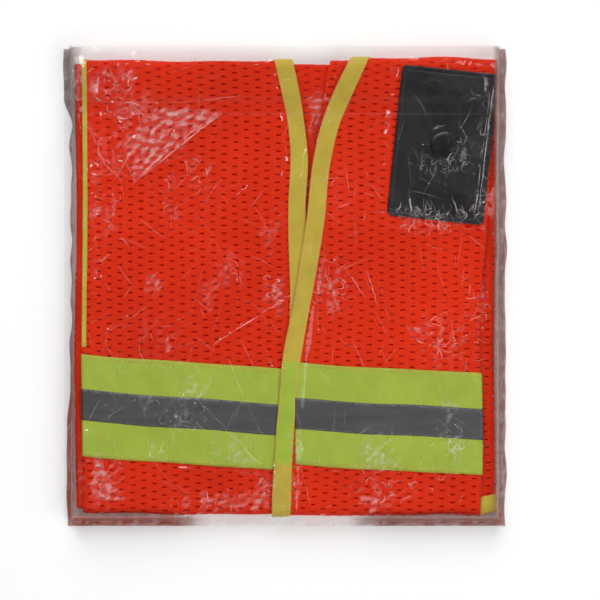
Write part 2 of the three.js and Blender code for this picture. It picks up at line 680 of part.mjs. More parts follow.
const bagBackFilm = () =>
  sheet(box2(-BAG_HALF_X, BAG_HALF_X, -BAG_HALF_Y, BAG_HALF_Y), FILM / 2, FILM);

/** The back film where it rises past the vest to the flap. */
function bagMouthTurn() {
  const top = FLAP_Z + FILM / 2;
  const outline = box2(-BAG_WALL_TOP_X, BAG_WALL_TOP_X, BAG_HALF_Y - FILM, BAG_HALF_Y);
  return sheet(outline, (SEAM_Z + top) / 2, top - SEAM_Z);
}

const flapEdgeY = BAG_HALF_Y - FLAP_LENGTH;
const bagFlap = () => sheet(box2(-BAG_HALF_X, BAG_HALF_X, flapEdgeY, MOUTH_Y), FLAP_Z, FILM);

function adhesiveStrip() {
  const y0 = flapEdgeY + ADHESIVE.fromEdge;
  const x = BAG_WALL_TOP_X - ADHESIVE.inset;
  const z = FLAP_Z - FILM / 2 - SEWN_GAP - ADHESIVE.ply / 2;
  return sheet(box2(-x, x, y0, y0 + ADHESIVE.width), z, ADHESIVE.ply);
}

// ---- Assembly ----

const pieces = {
  bag_back_film: [bagBackFilm(), "film"],
  bag_front_film: [bagFrontFilm(), "film"],
  bag_mouth_turn: [bagMouthTurn(), "film"],
  bag_flap: [bagFlap(), "film"],
  bag_adhesive_strip: [adhesiveStrip(), "adhesive"],
  left_front_panel: [leftFrontPanel(), "mesh"],
  right_front_panel: [rightFrontPanel(), "mesh"],
  back_panel: [backPanel(), "mesh"],
  left_front_binding: [leftBinding(), "binding"],
  right_front_binding: [rightBinding(), "binding"],
  back_neck_binding: [backNeckBinding(), "binding"],
  right_armhole_binding: [rightArmholeBinding(), "binding"],
  left_armhole_binding: [leftArmholeBinding(), "binding"],
  left_hem_binding: [
    hemBinding(leftFootX + BINDING_CLEAR, LEFT_FOLD_X, leftHem, -LEFT_FRONT),
    "binding",
  ],
  right_hem_binding: [
    hemBinding(RIGHT_FOLD_X, rightFootX - BINDING_CLEAR, rightHem, -RIGHT_FRONT),
    "binding",
  ],
  back_hem_binding: [hemBinding(RIGHT_FOLD_X, LEFT_FOLD_X, backHem, -BACK), "binding"],
  left_tape: [wrapped(LEFT_TAPE, TAPE, leftPanel), "tape"],
  right_tape: [wrapped(RIGHT_TAPE, TAPE, rightPanel), "tape"],
  back_tape: [strip(BACK_TAPE, ...TAPE, backPanelOutside), "tape"],
  left_stripe: [wrapped(LEFT_TAPE, STRIPE, leftPanel), "stripe"],
  right_stripe: [wrapped(RIGHT_TAPE, STRIPE, rightPanel), "stripe"],
  back_stripe: [strip(BACK_TAPE, ...STRIPE, backPanelOutside), "stripe"],
  pocket_back: [pocketBack(), "vinyl"],
  pocket_front: [pocketFront(), "vinyl"],
  pocket_snap_cap: [snapCap(), "snap"],
  pocket_snap_ring: [snapRing(), "snap"],
};

const group = new THREE.Group();
group.name = "high_visibility_vest";
for (const [name, [solid, colour]] of Object.entries(pieces)) {
  const mesh = new THREE.Mesh(
    geometryOf(solid),
    new THREE.MeshStandardMaterial(COLOURS[colour]),
  );
  mesh.name = name;
  group.add(mesh);
}

export default group;
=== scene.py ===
"""Looks for a folded high visibility vest in its clear film bag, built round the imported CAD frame.

Lengths in this script are millimetres, and meshes are made in metres. Each layer of cloth is
drawn flat, as (x, v): x across the pack, and v along the garment, which equals y on the face of the
pack and runs on round its top and bottom folds. A Layer turns (x, v, height) into a place.
"""
import math

import bpy
import numpy as np
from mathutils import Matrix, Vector


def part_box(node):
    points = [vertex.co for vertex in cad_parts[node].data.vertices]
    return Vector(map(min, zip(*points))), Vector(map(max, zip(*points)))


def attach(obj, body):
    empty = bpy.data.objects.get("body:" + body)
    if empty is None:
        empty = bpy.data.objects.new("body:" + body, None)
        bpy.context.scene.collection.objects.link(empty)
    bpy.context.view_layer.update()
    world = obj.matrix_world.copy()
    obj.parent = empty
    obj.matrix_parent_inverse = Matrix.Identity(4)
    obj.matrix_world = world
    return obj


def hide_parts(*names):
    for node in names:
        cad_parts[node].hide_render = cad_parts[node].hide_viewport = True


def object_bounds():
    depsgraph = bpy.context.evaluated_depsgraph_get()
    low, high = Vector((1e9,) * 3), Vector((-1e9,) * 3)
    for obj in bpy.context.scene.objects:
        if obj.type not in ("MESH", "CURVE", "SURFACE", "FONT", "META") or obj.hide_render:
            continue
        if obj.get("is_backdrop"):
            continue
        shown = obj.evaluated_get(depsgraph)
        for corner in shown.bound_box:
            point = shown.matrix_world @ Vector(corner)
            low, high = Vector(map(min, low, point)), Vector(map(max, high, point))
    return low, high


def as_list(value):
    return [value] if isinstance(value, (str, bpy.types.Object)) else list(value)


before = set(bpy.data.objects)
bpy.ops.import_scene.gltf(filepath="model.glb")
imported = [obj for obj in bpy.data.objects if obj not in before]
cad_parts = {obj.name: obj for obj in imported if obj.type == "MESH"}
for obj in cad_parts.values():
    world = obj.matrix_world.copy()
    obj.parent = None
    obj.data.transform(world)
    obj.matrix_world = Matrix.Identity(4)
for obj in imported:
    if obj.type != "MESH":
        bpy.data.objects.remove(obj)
cad_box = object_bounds()

MM = 0.001
HALF_TURN = math.pi

# ---------------------------------------------------------------- sizes, in millimetres

CLOTH = 0.5
HOLE_COLUMN = 7.45  # from one column of the mesh cloth's holes to the next
HOLE_ROW = 5.46  # from one hole to the next in a column
BINDING_WIDTH = 12.5
TAPE_WIDTH = 71.5
STRIPE_WIDTH = 21.7
STITCH_PITCH = 3.1
ARMHOLE_SHOWN = 3.4  # how much of the right armhole's binding shows on the face
CORNER_CUT = 12  # how far the back's cloth stops short of the side at its bound corner
ROW_PAST = 2.5  # a turned side runs on this far past the last row of cloth that it turns
TRIM_BASE = 0.34  # from the middle of the cloth up to what is sewn on it
ON_BINDING = TRIM_BASE + 0.34  # up to a binding's stitches
ON_TAPE = TRIM_BASE + 0.42  # up to what is sewn on a tape
TAPE_RETURN = 40  # how far the tapes run on round the side folds
SIDE_RETURN = 118  # how far each side runs on underneath
CLOTH_COLUMNS = 37  # columns of holes on each side of the middle
SLIT_HALF = 1.35  # half of a hole's length
SLIT_RISE = 0.62  # from a hole's middle to the rows of loops above and below it
BINDING_DOME = 0.3
BINDING_THICK = 0.3
STITCH_FILL = 0.72  # the share of its pitch that a stitch fills
SEAM = 1.2  # a stitch row's distance from the edge it holds


def mm_box(node):
    """A CAD node's box, in millimetres."""
    low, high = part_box(node)
    return np.array(low) / MM, np.array(high) / MM


def mm_middle(node):
    """The middle of a CAD node's box, in millimetres."""
    low, high = mm_box(node)
    return (low + high) / 2


# ---------------------------------------------------------------- smooth fields and curves


def swell(x, y, seed, length, count=14):
    """Smooth random waves about as long as "length", between -1 and 1 or so."""
    draw = np.random.default_rng(seed)
    total = np.zeros(np.broadcast(x, y).shape)
    for _ in range(count):
        angle = draw.uniform(0, 2 * math.pi)
        k = 2 * math.pi / (length * draw.uniform(0.6, 1.6))
        phase = draw.uniform(0, 2 * math.pi)
        total += np.cos(k * (x * math.cos(angle) + y * math.sin(angle)) + phase)
    return total / math.sqrt(count)


def smooth_step(value, low, high):
    t = np.clip((value - low) / (high - low), 0, 1)
    return t * t * (3 - 2 * t)


class Curve:
    """x as a smooth function of v, through a few knots."""

    def __init__(self, knots):
        knots = sorted(knots, key=lambda knot: knot[1])
        self.x = np.array([knot[0] for knot in knots], float)
        self.v = np.array([knot[1] for knot in knots], float)
        self.slopes = np.gradient(self.x, self.v)

    def __call__(self, v):
        v = np.asarray(v, float)
        i = np.clip(np.searchsorted(self.v, v) - 1, 0, len(self.v) - 2)
        h = self.v[i + 1] - self.v[i]
        t = np.clip((v - self.v[i]) / h, 0, 1)
        t2, t3 = t * t, t * t * t
        return (
            (2 * t3 - 3 * t2 + 1) * self.x[i]
            + (t3 - 2 * t2 + t) * h * self.slopes[i]
            + (3 * t2 - 2 * t3) * self.x[i + 1]
            + (t3 - t2) * h * self.slopes[i + 1]
        )


def relief(x, y):
    """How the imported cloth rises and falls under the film, the same for all that lies on it."""
    broad = 0.32 * swell(x, y, 11, 120) + 0.2 * swell(x, y, 12, 42)
    dents = 0.22 * np.abs(swell(x * 1.5, y, 13, 34))
    return broad - dents


# ---------------------------------------------------------------- layers of the folded cloth


def everywhere(v):
    return np.isfinite(v)


class Layer:
    """One panel's cloth, folded round the top and the bottom of the pack, and round one side."""

    def __init__(self, node, side, fold_x, side_drop, turns=everywhere):
        low, high = mm_box(node)
        self.middle = (low[2] + high[2]) / 2
        self.radius = (high[2] - low[2]) / 2 - CLOTH / 2
        self.top = high[1] - self.radius - CLOTH / 2
        self.bottom = low[1] + self.radius + CLOTH / 2
        self.around = HALF_TURN * self.radius
        self.side = side
        self.fold_x = fold_x  # outside of the side fold, as a function of v
        self.side_radius = side_drop / 2
        self.turns = turns  # where along v the side is turned under

    def side_flat(self, v):
        """Where the cloth leaves the flat to turn under at the side."""
        return self.fold_x(v) - self.side * (self.side_radius + CLOTH / 2)

    def turned(self, v, run=SIDE_RETURN):
        """x of a point that lies this far past the side fold, underneath."""
        return self.side_flat(v) + self.side * (HALF_TURN * self.side_radius + run)

    def place(self, x, v, height=0.0):
        """The place in space of points on the cloth's middle, or "height" outside it."""
        x, v, height = np.broadcast_arrays(*(np.asarray(a, float) for a in (x, v, height)))
        out = (x - self.side_flat(v)) * self.side
        angle = np.clip(out / self.side_radius, 0, HALF_TURN)
        turning = (out > 0) & self.turns(v)
        reach = self.side_radius + height
        past = np.maximum(out - HALF_TURN * self.side_radius, 0)
        turned_x = self.side_flat(v) + self.side * (reach * np.sin(angle) - past)
        turned_drop = self.side_radius - reach * np.cos(angle)
        px = np.where(turning, turned_x, x)
        lift = np.where(turning, -turned_drop, height)
        over = np.clip((v - self.top) / self.radius, 0, HALF_TURN)
        under = np.clip((self.bottom - v) / self.radius, 0, HALF_TURN)
        bend = over + under
        radial = self.radius + lift
        back_top = np.maximum(v - self.top - self.around, 0)
        back_bottom = np.maximum(self.bottom - v - self.around, 0)
        y = np.clip(v, self.bottom, self.top)
        y = y + radial * (np.sin(over) - np.sin(under)) - back_top + back_bottom
        z = self.middle + radial * np.cos(bend)
        face = smooth_step(np.cos(bend), -0.2, 1.0)
        z = z + relief(px, y) * face
        y = y + np.sin(bend) * 0.7 * swell(px, z, 21, 70)
        return np.stack([px, y, z], axis=-1)


TOP_Y = mm_box("left_front_panel")[1][1]
LEFT_TOP = mm_box("left_front_panel")[1][2]
RIGHT_TOP = mm_box("right_front_panel")[1][2]
UNDER_LEFT = mm_box("back_panel")[1][0]
UNDER_RIGHT = mm_box("back_panel")[0][0]
RIGHT_FOLD = mm_box("right_front_panel")[0][0]
LEFT_FOLD = mm_box("left_hem_binding")[1][0]
ARMHOLE_FOOT = mm_box("right_armhole_binding")[0][1]
CORNER_TOP = mm_box("left_armhole_binding")[1][1]
PITCH = LEFT_TOP - RIGHT_TOP
SLANT_RUN = 170  # over this last stretch below the top, the left side leans out
SLANT_OUT = 11.8


def wavy(at, wave, length, inward):
    """x near "at", wavering along the pack and moved over by one wave where inward is 1 or -1."""
    return lambda v: at + wave * np.sin(np.asarray(v, float) / length) + inward * wave


def left_fold(v):
    share = np.clip((np.asarray(v, float) - TOP_Y + SLANT_RUN) / SLANT_RUN, 0, 1)
    return wavy(LEFT_FOLD + SLANT_OUT * share, 0.5, 23, 0)(v)


left_layer = Layer("left_front_panel", 1, left_fold, PITCH)
right_layer = Layer(
    "right_front_panel", -1, wavy(RIGHT_FOLD, 0.4, 27, 1), PITCH,
    lambda v: v < ARMHOLE_FOOT + ROW_PAST,
)
back_layer = Layer(
    "back_panel", 1, wavy(UNDER_LEFT, 0.6, 31, -1), PITCH, lambda v: v > CORNER_TOP - ROW_PAST
)
back_far_layer = Layer("back_panel", -1, wavy(UNDER_RIGHT, 0.8, 35, 1), PITCH)

NECK_HALF, NECK_MIDDLE = 70, 27
SHOULDER = mm_box("back_neck_binding")[0][1]
HEM_MIDDLE = mm_middle("left_hem_binding")[1]


def below(x, drop):
    """A knot this far below the top fold."""
    return (x, TOP_Y - drop)


def under_v(layer, y):
    """v of a height y on the underside, past the top fold."""
    return layer.top + layer.around + (layer.top - y)


def hem_v(layer):
    """v of the middle of a panel's hem binding, on the underside, past the bottom fold."""
    return layer.bottom - layer.around - (HEM_MIDDLE - layer.bottom)


def ends(layer, past=0):
    """v at both ends of a panel's cloth, from its hem to this far past the foot of the neck."""
    return hem_v(layer), under_v(layer, SHOULDER + past)


# Middle of the binding on each front's edge, on the face of the pack and on round both folds.
left_edge = Curve(
    [
        (NECK_MIDDLE + NECK_HALF, under_v(left_layer, SHOULDER)),
        (69, under_v(left_layer, 96)),
        (54, under_v(left_layer, 150)),
        (54, left_layer.top + left_layer.around / 2),
        (50.5, left_layer.top + 2),
        below(42, 23),
        below(32.6, 46),
        below(26.2, 73),
        below(21.8, 113),
        below(12.6, 170),
        below(4.6, 214),
        below(1.4, 249),
        (-2.2, left_layer.bottom),
        (-2.4, left_layer.bottom - 60),
        (-2.4, hem_v(left_layer)),
    ]
)
right_edge = Curve(
    [
        (NECK_MIDDLE - NECK_HALF, under_v(right_layer, SHOULDER)),
        (-18, under_v(right_layer, 96)),
        (-4, under_v(right_layer, 150)),
        (-1.5, right_layer.top + right_layer.around / 2),
        (0.4, right_layer.top),
        below(8, 46),
        below(10.2, 69),
        below(8.7, 104),
        below(9.2, 141),
        below(10, 170),
        below(7, 214),
        below(4.2, 249),
        (0.6, right_layer.bottom),
        (0.4, right_layer.bottom - 60),
        (0.4, hem_v(right_layer)),
    ]
)

# ---------------------------------------------------------------- mesh building


def placed(name, data):
    """A new object in the scene."""
    thing = bpy.data.objects.new(name, data)
    bpy.context.scene.collection.objects.link(thing)
    return thing


def new_mesh(name, points, faces, material):
    """An object from points in millimetres and faces with three or four corners each."""
    faces = [np.asarray(f, np.int32) for f in faces if len(f)]
    loops = np.concatenate([f.ravel() for f in faces])
    counts = np.concatenate([np.full(len(f), f.shape[1]) for f in faces])
    starts = np.concatenate([[0], np.cumsum(counts)[:-1]])
    mesh = bpy.data.meshes.new(name)
    mesh.vertices.add(len(points))
    mesh.vertices.foreach_set("co", (np.asarray(points, np.float32) * MM).ravel())
    mesh.loops.add(len(loops))
    mesh.loops.foreach_set("vertex_index", loops.astype(np.int32))
    mesh.polygons.add(len(counts))
    mesh.polygons.foreach_set("loop_start", starts.astype(np.int32))
    mesh.polygons.foreach_set("use_smooth", np.full(len(counts), True))
    mesh.update(calc_edges=True)
    mesh.validate()
    mesh.materials.append(material)
    return placed(name, mesh)


def grid_faces(rows, columns, keep=None, wrap=False):
    """The quads of a grid whose points are numbered row by row."""
    index = np.arange(rows * columns).reshape(rows, columns)
    if wrap:
        index = np.concatenate([index, index[:, :1]], axis=1)
    quads = np.stack([index[:-1, :-1], index[:-1, 1:], index[1:, 1:], index[1:, :-1]], axis=-1)
    return quads[keep] if keep is not None else quads.reshape(-1, 4)


def drop_loose(points, faces):
    """Leaves out the points that no face uses."""
    used = np.unique(np.concatenate([f.ravel() for f in faces if len(f)]))
    lookup = np.zeros(len(points), np.int64)
    lookup[used] = np.arange(len(used))
    return points[used], [lookup[f] for f in faces if len(f)]


def attribute(thing, name, values):
    """A number for each point, which the material reads by name."""
    layer = thing.data.attributes.new(name, "FLOAT", "POINT")
    layer.data.foreach_set("value", np.asarray(values, np.float32))


# ---------------------------------------------------------------- mesh cloth


def cell_middles(a):
    """The mean of each grid cell's four corners."""
    return (a[:-1, :-1] + a[1:, 1:] + a[:-1, 1:] + a[1:, :-1]) / 4


def mesh_cloth(name, layer, inner, outer, v_low, v_high, seed, lean=0.0):
    """Knitted mesh: a grid whose columns and rows close in round each slit-shaped hole."""
    columns = np.arange(-CLOTH_COLUMNS, CLOTH_COLUMNS + 1)
    column_steps = np.array([-SLIT_HALF, 0, SLIT_HALF, HOLE_COLUMN / 2])
    column_x = (columns[:, None] * HOLE_COLUMN + column_steps).ravel()
    slit_steps = np.array([-SLIT_RISE, 0, SLIT_RISE, HOLE_ROW / 4])
    row_steps = np.concatenate([slit_steps, slit_steps + HOLE_ROW / 2])
    first, last = math.floor(v_low / HOLE_ROW), math.ceil(v_high / HOLE_ROW)
    row_v = (np.arange(first, last + 1)[:, None] * HOLE_ROW + row_steps).ravel()
    x, v = np.meshgrid(column_x, row_v)
    kind = np.tile([0, 1, 2, 3], len(columns))[None, :]
    even = np.repeat(columns % 2 == 0, 4)[None, :]
    step = np.tile(np.arange(8), last - first + 1)[:, None]
    centre = np.where(even, 1, 5)
    at_tip = (step == centre) & (kind != 3)
    at_rim = (np.abs(step - centre) == 1) & (kind != 3)
    sideways = np.select([kind == 0, kind == 2], [-1.0, 1.0], 0.0)
    draw = np.random.default_rng(seed)
    loose = 1 + 0.22 * draw.standard_normal(x.shape)
    x = x + sideways * (0.42 * at_tip + 0.04 * at_rim) * loose
    v = v - 0.12 * np.sign(step - centre) * at_rim
    height = 0.16 * (kind == 3) + 0.05 * (kind == 1) - 0.1 * (at_rim | at_tip)
    shift_x = 1.3 * swell(x, v, seed + 1, 130) + 0.35 * swell(x, v, seed + 2, 40)
    shift_v = 1.1 * swell(x, v, seed + 3, 150) + 0.3 * swell(x, v, seed + 4, 45)
    x, v = x + lean * (v - v_high) + shift_x, v + shift_v
    cx, cv = cell_middles(x), cell_middles(v)
    kinds, steps, centres = (np.broadcast_to(a, x.shape)[:-1, :-1] for a in (kind, step, centre))
    hole = (kinds < 2) & ((steps == centres - 1) | (steps == centres))
    low_x = np.minimum(inner(cv), outer(cv))
    high_x = np.maximum(inner(cv), outer(cv))
    keep = ~hole & (cx > low_x) & (cx < high_x) & (cv > v_low) & (cv < v_high)
    points = layer.place(x, v, height).reshape(-1, 3)
    return new_mesh(name, *drop_loose(points, [grid_faces(*x.shape, keep=keep)]), MESH)


# ---------------------------------------------------------------- trims: strips along the cloth


def strip_section(half):
    """Cross-section of a binding with soft edges: how far across and how high, round the loop."""
    across = np.array([-1, -0.97, -0.85, -0.6, -0.3, 0, 0.3, 0.6, 0.85, 0.97, 1]) * half
    crown = BINDING_DOME * (1 - (across / half) ** 4) + BINDING_THICK
    crown[0] = crown[-1] = BINDING_THICK * 0.45
    under = across[-2:0:-1]
    return np.append(across, under)[None, :], np.append(crown, 0 * under)[None, :]


def strip_mesh(name, points, flipped=False):
    """A closed binding from its cross-sections, one to a row."""
    rows, columns = points.shape[:2]
    sides = grid_faces(rows, columns, wrap=True)
    start = np.arange(columns)[::-1]
    end = np.arange(columns) + (rows - 1) * columns
    faces = [sides[:, ::-1] if flipped else sides, start[None, :], end[None, :]]
    return new_mesh(name, points.reshape(-1, 3), faces, BINDING)


def ribbon(name, layer, line, v_low, v_high, half, seed, step=1.6):
    """A binding along a line of the cloth, domed, with fine puckers along its stitching."""
    v = np.arange(v_low, v_high + step, step)
    x = line(v)
    slope = np.gradient(x, v)
    norm = np.sqrt(1 + slope**2)
    across, height = strip_section(half)
    width = 1 + 0.035 * swell(v, v * 0, seed + 5, 60)[:, None]
    px = x[:, None] + across * width / norm[:, None]
    pv = v[:, None] - across * width * slope[:, None] / norm[:, None]
    pucker = 0.07 * np.sin(2 * math.pi * v / STITCH_PITCH)[:, None] * (np.abs(across) > 0.5 * half)
    wave = 0.16 * swell(px, pv, seed + 6, 16)
    top = height > 0.01
    points = layer.place(px, pv, TRIM_BASE + height + top * (pucker + wave * 0.8))
    return strip_mesh(name, points), px, pv, np.broadcast_to((np.abs(across) / half) ** 4, px.shape)


def stitches(name, layer, line_x, line_v, material, base, radius=0.2):
    """A row of thread stitches along a line given as points, each a small round-ended bead."""
    length = np.concatenate([[0], np.cumsum(np.hypot(np.diff(line_x), np.diff(line_v)))])
    starts = np.arange(STITCH_PITCH / 2, length[-1] - STITCH_PITCH, STITCH_PITCH)
    along = np.array([0, 0.12, 0.35, 0.65, 0.88, 1.0]) * STITCH_PITCH * STITCH_FILL
    girth = np.array([0.25, 0.75, 1, 1, 0.75, 0.25])[None, :, None] * radius
    sink = np.array([-0.12, 0.0, 0.05, 0.05, 0.0, -0.12])[None, :, None]
    around = np.arange(6) * math.pi / 3
    s = starts[:, None, None] + along[None, :, None]
    x = np.interp(s, length, line_x)
    v = np.interp(s, length, line_v)
    dx = np.interp(s + 0.5, length, line_x) - np.interp(s - 0.5, length, line_x)
    dv = np.interp(s + 0.5, length, line_v) - np.interp(s - 0.5, length, line_v)
    norm = np.hypot(dx, dv) + 1e-9
    side = girth * np.cos(around)
    up = girth * np.sin(around) + sink
    points = layer.place(x - side * dv / norm, v + side * dx / norm, base + up)
    count, rings, sides = points.shape[:3]
    shift = (np.arange(count) * rings * sides)[:, None, None]
    body = (grid_faces(rings, sides, wrap=True)[None] + shift).reshape(-1, 4)
    caps = np.stack([np.arange(sides)[::-1], np.arange(sides) + (rings - 1) * sides])
    caps = (caps[None] + shift).reshape(-1, sides)
    return new_mesh(name, points.reshape(-1, 3), [body, caps], material)


def slab(name, place, u, w, thickness_low, thickness_high, material):
    """A thin closed slab over a grid of flat coordinates, with "place" giving its two faces."""
    upper = place(u, w, thickness_high)
    lower = place(u, w, thickness_low)
    rows, columns = u.shape
    top = grid_faces(rows, columns)
    bottom = top[:, ::-1] + rows * columns
    index = np.arange(rows * columns).reshape(rows, columns)
    rim = np.concatenate([index[0], index[1:, -1], index[-1, -2::-1], index[-2:0:-1, 0]])
    after = np.roll(rim, -1)
    sides = np.stack([after, rim, rim + rows * columns, after + rows * columns], axis=-1)
    points = np.concatenate([upper.reshape(-1, 3), lower.reshape(-1, 3)])
    return new_mesh(name, points, [top, bottom, sides], material)


# ---------------------------------------------------------------- materials


class Nodes:
    """A short way to write a material's node tree."""

    def __init__(self, name):
        self.material = bpy.data.materials.new(name)
        self.material.use_nodes = True
        self.tree = self.material.node_tree
        self.tree.nodes.clear()
        self.out = self.tree.nodes.new("ShaderNodeOutputMaterial")
        self.where = self.add("ShaderNodeTexCoord").outputs["Object"]

    def add(self, kind, inputs=(), **settings):
        node = self.tree.nodes.new(kind)
        for key, value in settings.items():
            setattr(node, key, value)
        for key, value in dict(inputs).items():
            self.plug(node, key, value)
        return node

    def plug(self, node, key, value):
        if isinstance(value, bpy.types.NodeSocket):
            self.tree.links.new(value, node.inputs[key])
        else:
            node.inputs[key].default_value = value

    def noise(self, scale, detail=2.0, where=None, **inputs):
        links = {"Vector": where or self.where, "Scale": scale, "Detail": detail, **inputs}
        return self.add("ShaderNodeTexNoise", links).outputs["Fac"]

    def stretched(self, x, y, z):
        links = {"Vector": self.where, "Scale": (x, y, z)}
        return self.add("ShaderNodeMapping", links).outputs["Vector"]

    def ramp(self, fac, low, high, dark, light):
        """Colours from dark to light as fac goes from low to high."""
        node = self.add("ShaderNodeValToRGB", {"Fac": fac})
        first, last = node.color_ramp.elements
        first.position, last.position = low, high
        first.color, last.color = (*dark, 1), (*light, 1)
        return node.outputs["Color"]

    def math(self, operation, a, b=0.0, c=0.0, clamp=False):
        node = self.add("ShaderNodeMath", {0: a, 1: b, 2: c}, operation=operation, use_clamp=clamp)
        return node.outputs["Value"]

    def mix(self, fac, a, b):
        node = self.add("ShaderNodeMix", {0: fac, 6: a, 7: b}, data_type="RGBA")
        return node.outputs[2]

    def over(self, base, share, amount, colour):
        """A base colour with another one over it, where and as much as "share" says."""
        return self.mix(self.math("MULTIPLY", share, amount), base, (*colour, 1))

    def value(self, name):
        return self.add("ShaderNodeAttribute", attribute_name=name).outputs["Fac"]

    def bands(self, axis, scale, distortion, detail, detail_scale=1.0):
        """Parallel bands across an axis, such as loops or ribs."""
        links = {
            "Vector": self.where, "Scale": scale, "Distortion": distortion,
            "Detail": detail, "Detail Scale": detail_scale,
        }
        return self.add("ShaderNodeTexWave", links, bands_direction=axis).outputs["Fac"]

    def cells(self, scale):
        links = {"Vector": self.where, "Scale": scale}
        return self.add("ShaderNodeTexVoronoi", links).outputs["Distance"]

    def bumps(self, *layers):
        """Bumps laid over one another, each as its height, its distance in mm and its strength."""
        links = {}
        for height, distance, strength in layers:
            links.update({"Height": height, "Distance": distance * MM, "Strength": strength})
            links["Normal"] = self.add("ShaderNodeBump", links).outputs["Normal"]
        return links["Normal"]

    def bsdf(self, kind, **inputs):
        """A shader, with the spaces in its socket names written as underscores."""
        links = {key.replace("_", " "): value for key, value in inputs.items()}
        return self.add("ShaderNodeBsdf" + kind, links).outputs[0]

    def blend(self, fac, a, b):
        """Shader b mixed over shader a."""
        return self.add("ShaderNodeMixShader", {0: fac, 1: a, 2: b}).outputs[0]

    def surface(self, **inputs):
        return self.finish(self.bsdf("Principled", **inputs))

    def finish(self, shader):
        self.tree.links.new(shader, self.out.inputs["Surface"])
        return self.material


def tone(*screen):
    """A colour given as a screen shows it: red, green and blue from 0 to 255."""
    return tuple(
        c / 255 / 12.92 if c < 11 else ((c / 255 + 0.055) / 1.055) ** 2.4 for c in screen
    )


def orange_mesh():
    """Fluorescent orange knit: soft, matt, a little uneven, with fine loops."""
    n = Nodes("orange_mesh")
    base = n.ramp(n.noise(14, 3), 0.3, 0.7, tone(230, 46, 6), tone(246, 55, 9))
    loops = n.bands("Y", 340, 2.2, 2.0, 2.0)
    colour = n.over(base, loops, 0.3, tone(210, 38, 4))
    normal = n.bumps((loops, 0.12, 0.5), (n.noise(2600, 3), 0.06, 0.5))
    knit = n.bsdf(
        "Principled", Base_Color=colour, Roughness=0.86, Normal=normal, Specular_IOR_Level=0.25,
        Sheen_Weight=0.12, Sheen_Roughness=0.45,
    )
    seen_through = n.bsdf("Translucent", Color=colour, Normal=normal)
    return n.finish(n.blend(0.28, knit, seen_through))


def lime_cloth(name, over_orange, over_lime, rib_axis, rib_scale):
    """Fluorescent lime weave, which takes a warm cast where orange cloth lies under it."""
    n = Nodes(name)
    ribs = n.bands(rib_axis, rib_scale, 0.5, 1.0)
    cloudy = n.noise(60, 3)
    warm = n.ramp(cloudy, 0.3, 0.7, *over_orange)
    cool = n.ramp(cloudy, 0.3, 0.7, *over_lime)
    warm = n.over(warm, n.noise(40, 2), 0.4, tone(206, 152, 56))
    base = n.mix(n.value("over_lime"), warm, cool)
    base = n.over(base, n.value("edge"), 0.55, tone(214, 138, 66))
    threads = n.noise(1, 2, where=n.stretched(900, 2600, 900))
    return n.surface(
        Base_Color=n.over(base, ribs, 0.26, tone(104, 112, 34)), Roughness=0.7,
        Normal=n.bumps((ribs, 0.1, 0.5), (threads, 0.05, 0.5)), Specular_IOR_Level=0.3,
        Sheen_Weight=0.1, Sheen_Roughness=0.4,
    )


def silver_stripe():
    """Grey retroreflective film: fine glass beads, faint rubs and a soft metallic look."""
    n = Nodes("silver_stripe")
    beads = n.cells(2400)
    rubs = n.noise(1, 4, where=n.stretched(30, 260, 30))
    base = n.ramp(rubs, 0.3, 0.75, tone(74, 73, 74), tone(88, 87, 87))
    return n.surface(
        Base_Color=n.over(base, beads, 0.25, tone(60, 60, 62)), Metallic=0.25, Roughness=0.5,
        Normal=n.bumps((beads, 0.03, 0.4)),
    )


def black_vinyl(name, grain, roughness):
    """Black vinyl: fine leather grain, cloudy wear and a low gloss."""
    n = Nodes(name)
    cloudy = n.noise(45, 4)
    span = {"Value": cloudy, "To Min": roughness - 0.08, "To Max": roughness + 0.1}
    return n.surface(
        Base_Color=n.ramp(cloudy, 0.35, 0.7, tone(23, 21, 24), tone(34, 31, 34)),
        Roughness=n.add("ShaderNodeMapRange", span).outputs["Result"], Specular_IOR_Level=0.4,
        Normal=n.bumps((n.cells(grain), 0.06, 0.5), (n.noise(220, 3), 0.12, 0.35)),
    )


def thread(name, colour):
    """Twisted sewing thread."""
    n = Nodes(name)
    twist = n.noise(1, 1, where=n.stretched(5000, 1800, 1800))
    base = n.ramp(twist, 0.35, 0.65, tuple(0.7 * c for c in colour), colour)
    return n.surface(Base_Color=base, Roughness=0.65, Normal=n.bumps((twist, 0.05, 0.6)))


